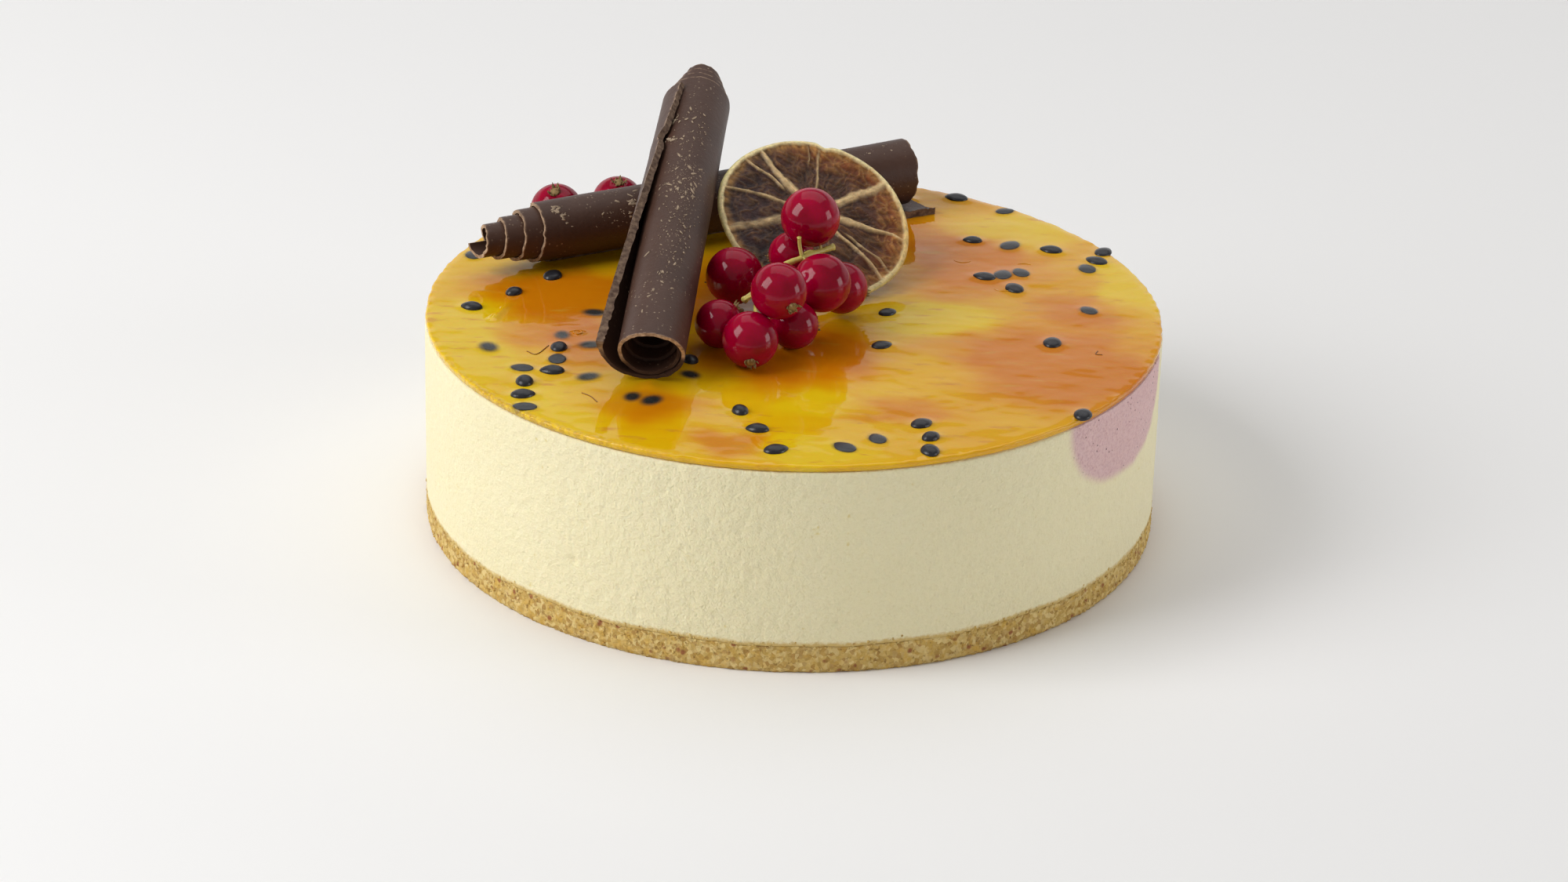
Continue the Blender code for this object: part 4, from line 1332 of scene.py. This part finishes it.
def calyx_tufts(material):
    """The dried flower on each berry: a ragged crown of thin sepals round a short plug."""
    draw = random.Random(SEPAL_DRAW)
    vertices, polygons = ball(2)
    meshes = []
    for centre, radius, flower in CURRANTS.values():
        radius *= BERRY_SWELL
        turn = Vector(flower).to_track_quat("Z", "Y").to_matrix()
        middle = Vector(centre) * MM
        plug = [middle + turn @ (Vector((v.x * 1.15, v.y * 1.15, radius + v.z * 0.6 - 0.25)) * MM)
                for v in vertices]
        meshes.append((plug, polygons))
        for i in range(SEPALS):
            heading = TAU * (i + draw.uniform(-0.3, 0.3)) / SEPALS
            lean = draw.uniform(-0.5, 0.9)
            tall = draw.uniform(0.9, 1.6)
            outward, sideways = toward(heading), toward(heading + math.pi / 2)
            shift = Vector((i * 3.3, radius, heading))
            sepal = []
            for v in vertices:
                rise = 0.5 + 0.5 * v.z
                rough = 1 + 0.7 * noise.noise(v * 1.4 + shift)
                reach = 1.05 + rise * lean + v.x * 0.16 * rough
                wide = v.y * 0.52 * (1.15 - rise) * rough + 0.3 * rise * noise.noise(shift + v)
                spot = outward * reach + sideways * wide + Vector((0, 0, radius - 0.6 + rise * tall * rough))
                sepal.append(middle + turn @ (spot * MM))
            meshes.append((sepal, polygons))
    return join_meshes("dried_flowers", meshes, material, "stalk")


def stalk_material():
    look = Look("stalk_look", roughness=0.45, subsurface_weight=0.2, subsurface_scale=0.001, coat_weight=0.2,
                coat_roughness=0.3)
    tint = look.mix(look.noise(220.0), (0.50, 0.40, 0.06), (0.68, 0.60, 0.18))
    tint = look.mix(look.noise(120.0, 2.0, between=(0.58, 0.72)), tint, (0.45, 0.17, 0.08))
    return look.finish(tint, look.noise(1200.0), 0.00012)


def currant_stalks(material):
    meshes = []
    lines = {}
    for key, (places, radius) in STALKS.items():
        line = smooth_line([Vector(p) * MM for p in places], 8)
        last = len(line) - 1
        radii = [radius * MM * (1 + 0.12 * noise.noise(p * 900) + 0.35 * abs(2 * i / last - 1) ** 12)
                 for i, p in enumerate(line)]
        meshes.append(tube(line, radii))
        lines[key] = line
    for name in HANGING:
        centre, radius, flower = CURRANTS[name]
        middle = Vector(centre) * MM
        nearest = min(lines["stalk"], key=lambda p: (p - middle).length)
        start = middle + (nearest - middle).normalized() * radius * MM * 0.97
        bow = (start + nearest) / 2 + Vector((0, 0, 0.5 * MM))
        line = smooth_line([start, bow, nearest], 6)
        meshes.append(tube(line, [0.28 * MM] * len(line), 12))
    return join_meshes("currant_stalks", meshes, material, "stalk", "currant_stem")


# Floor, camera and light

def add_floor():
    mesh = bpy.data.meshes.new("floor")
    half = 6
    corners = [(-half, -half, 0), (half, -half, 0), (half, half, 0), (-half, half, 0)]
    mesh.from_pydata(corners, [], [(0, 1, 2, 3)])
    look = Look("floor_look", roughness=0.7, specular_ior_level=0.2, base_color=(0.90, 0.89, 0.88, 1))
    mesh.materials.append(look.material)
    floor = add_object("floor", mesh)
    floor.location.z = -0.05 * MM


def add_camera():
    forward = Vector((0, math.cos(VIEW_ELEVATION), -math.sin(VIEW_ELEVATION)))
    right = Vector((1, 0, 0))
    up = right.cross(forward)
    place = Vector((0, 0, AIM_HEIGHT)) - forward * VIEW_DISTANCE
    aim = (forward + right * VIEW_YAW + up * VIEW_PITCH).normalized()
    level_right = aim.cross(Vector((0, 0, 1))).normalized()
    level_up = level_right.cross(aim)
    view_right = level_right * math.cos(VIEW_ROLL) + level_up * math.sin(VIEW_ROLL)
    view_up = level_up * math.cos(VIEW_ROLL) - level_right * math.sin(VIEW_ROLL)
    camera = add_object("camera", bpy.data.cameras.new("camera"))
    camera.data.lens = LENS_MM
    camera.data.sensor_width = 36
    camera.data.clip_start = 0.01
    turn = Matrix((view_right, view_up, -aim)).transposed().to_4x4()
    camera.matrix_world = Matrix.Translation(place) @ turn
    bpy.context.scene.camera = camera


def softbox(name, place, target, width, height, power):
    light = bpy.data.lights.new(name, "AREA")
    light.shape = "RECTANGLE"
    light.size = width
    light.size_y = height
    light.energy = power
    lamp = add_object(name, light)
    lamp.location = place
    lamp.rotation_euler = (Vector(target) - Vector(place)).to_track_quat("-Z", "Y").to_euler()


def studio_world():
    """A dim room with a pale wall behind the cake, whose upper edge the glaze mirrors."""
    world = bpy.data.worlds.new("studio")
    bpy.context.scene.world = world
    world.use_nodes = True
    tree = world.node_tree
    direction = node(tree, "SeparateXYZ", {"Vector": node(tree, "TexCoord", {}).outputs["Generated"]})
    up, back = direction.outputs["Z"], direction.outputs["Y"]
    wall = map_range(tree, up, WALL_LOW, WALL_HIGH, WALL_LIGHT_LOW, WALL_LIGHT_HIGH)
    above = map_range(tree, up, WALL_HIGH, WALL_HIGH + 0.006)
    room = map_range(tree, back, *ROOM_CHANGES, ROOM_LIGHT_FRONT, ROOM_LIGHT_BACK)
    ahead = map_range(tree, back, *WALL_COMES_IN)
    light = mix(tree, ahead, room, mix(tree, above, wall, room))
    tree.links.new(light, tree.nodes["Background"].inputs["Color"])


def add_light():
    studio_world()
    for name, settings in LIGHTS.items():
        softbox(name, *settings)
    scene = bpy.context.scene
    scene.view_settings.view_transform = "Standard"
    scene.view_settings.look = "None"


# The whole cake

crumb = crumb_material()
crumb_base(crumb)
loose_crumbs(crumb)
cream_body(cream_material("cream_look"))
mousse_patch(cream_material("mousse_look"))
glaze = glaze_material()
glaze_sheet(glaze)
glaze_ripples(glaze)
seeds(seed_material())
fruit_threads()
chocolate = chocolate_materials()
back_roll(chocolate)
front_roll(chocolate)
roll_flakes()
lime_slice(lime_material())
berry_skin = currant_material()
for berry in CURRANTS:
    currant(berry, berry_skin)
calyx_tufts(calyx_material())
currant_stalks(stalk_material())

add_floor()
add_camera()
add_light()
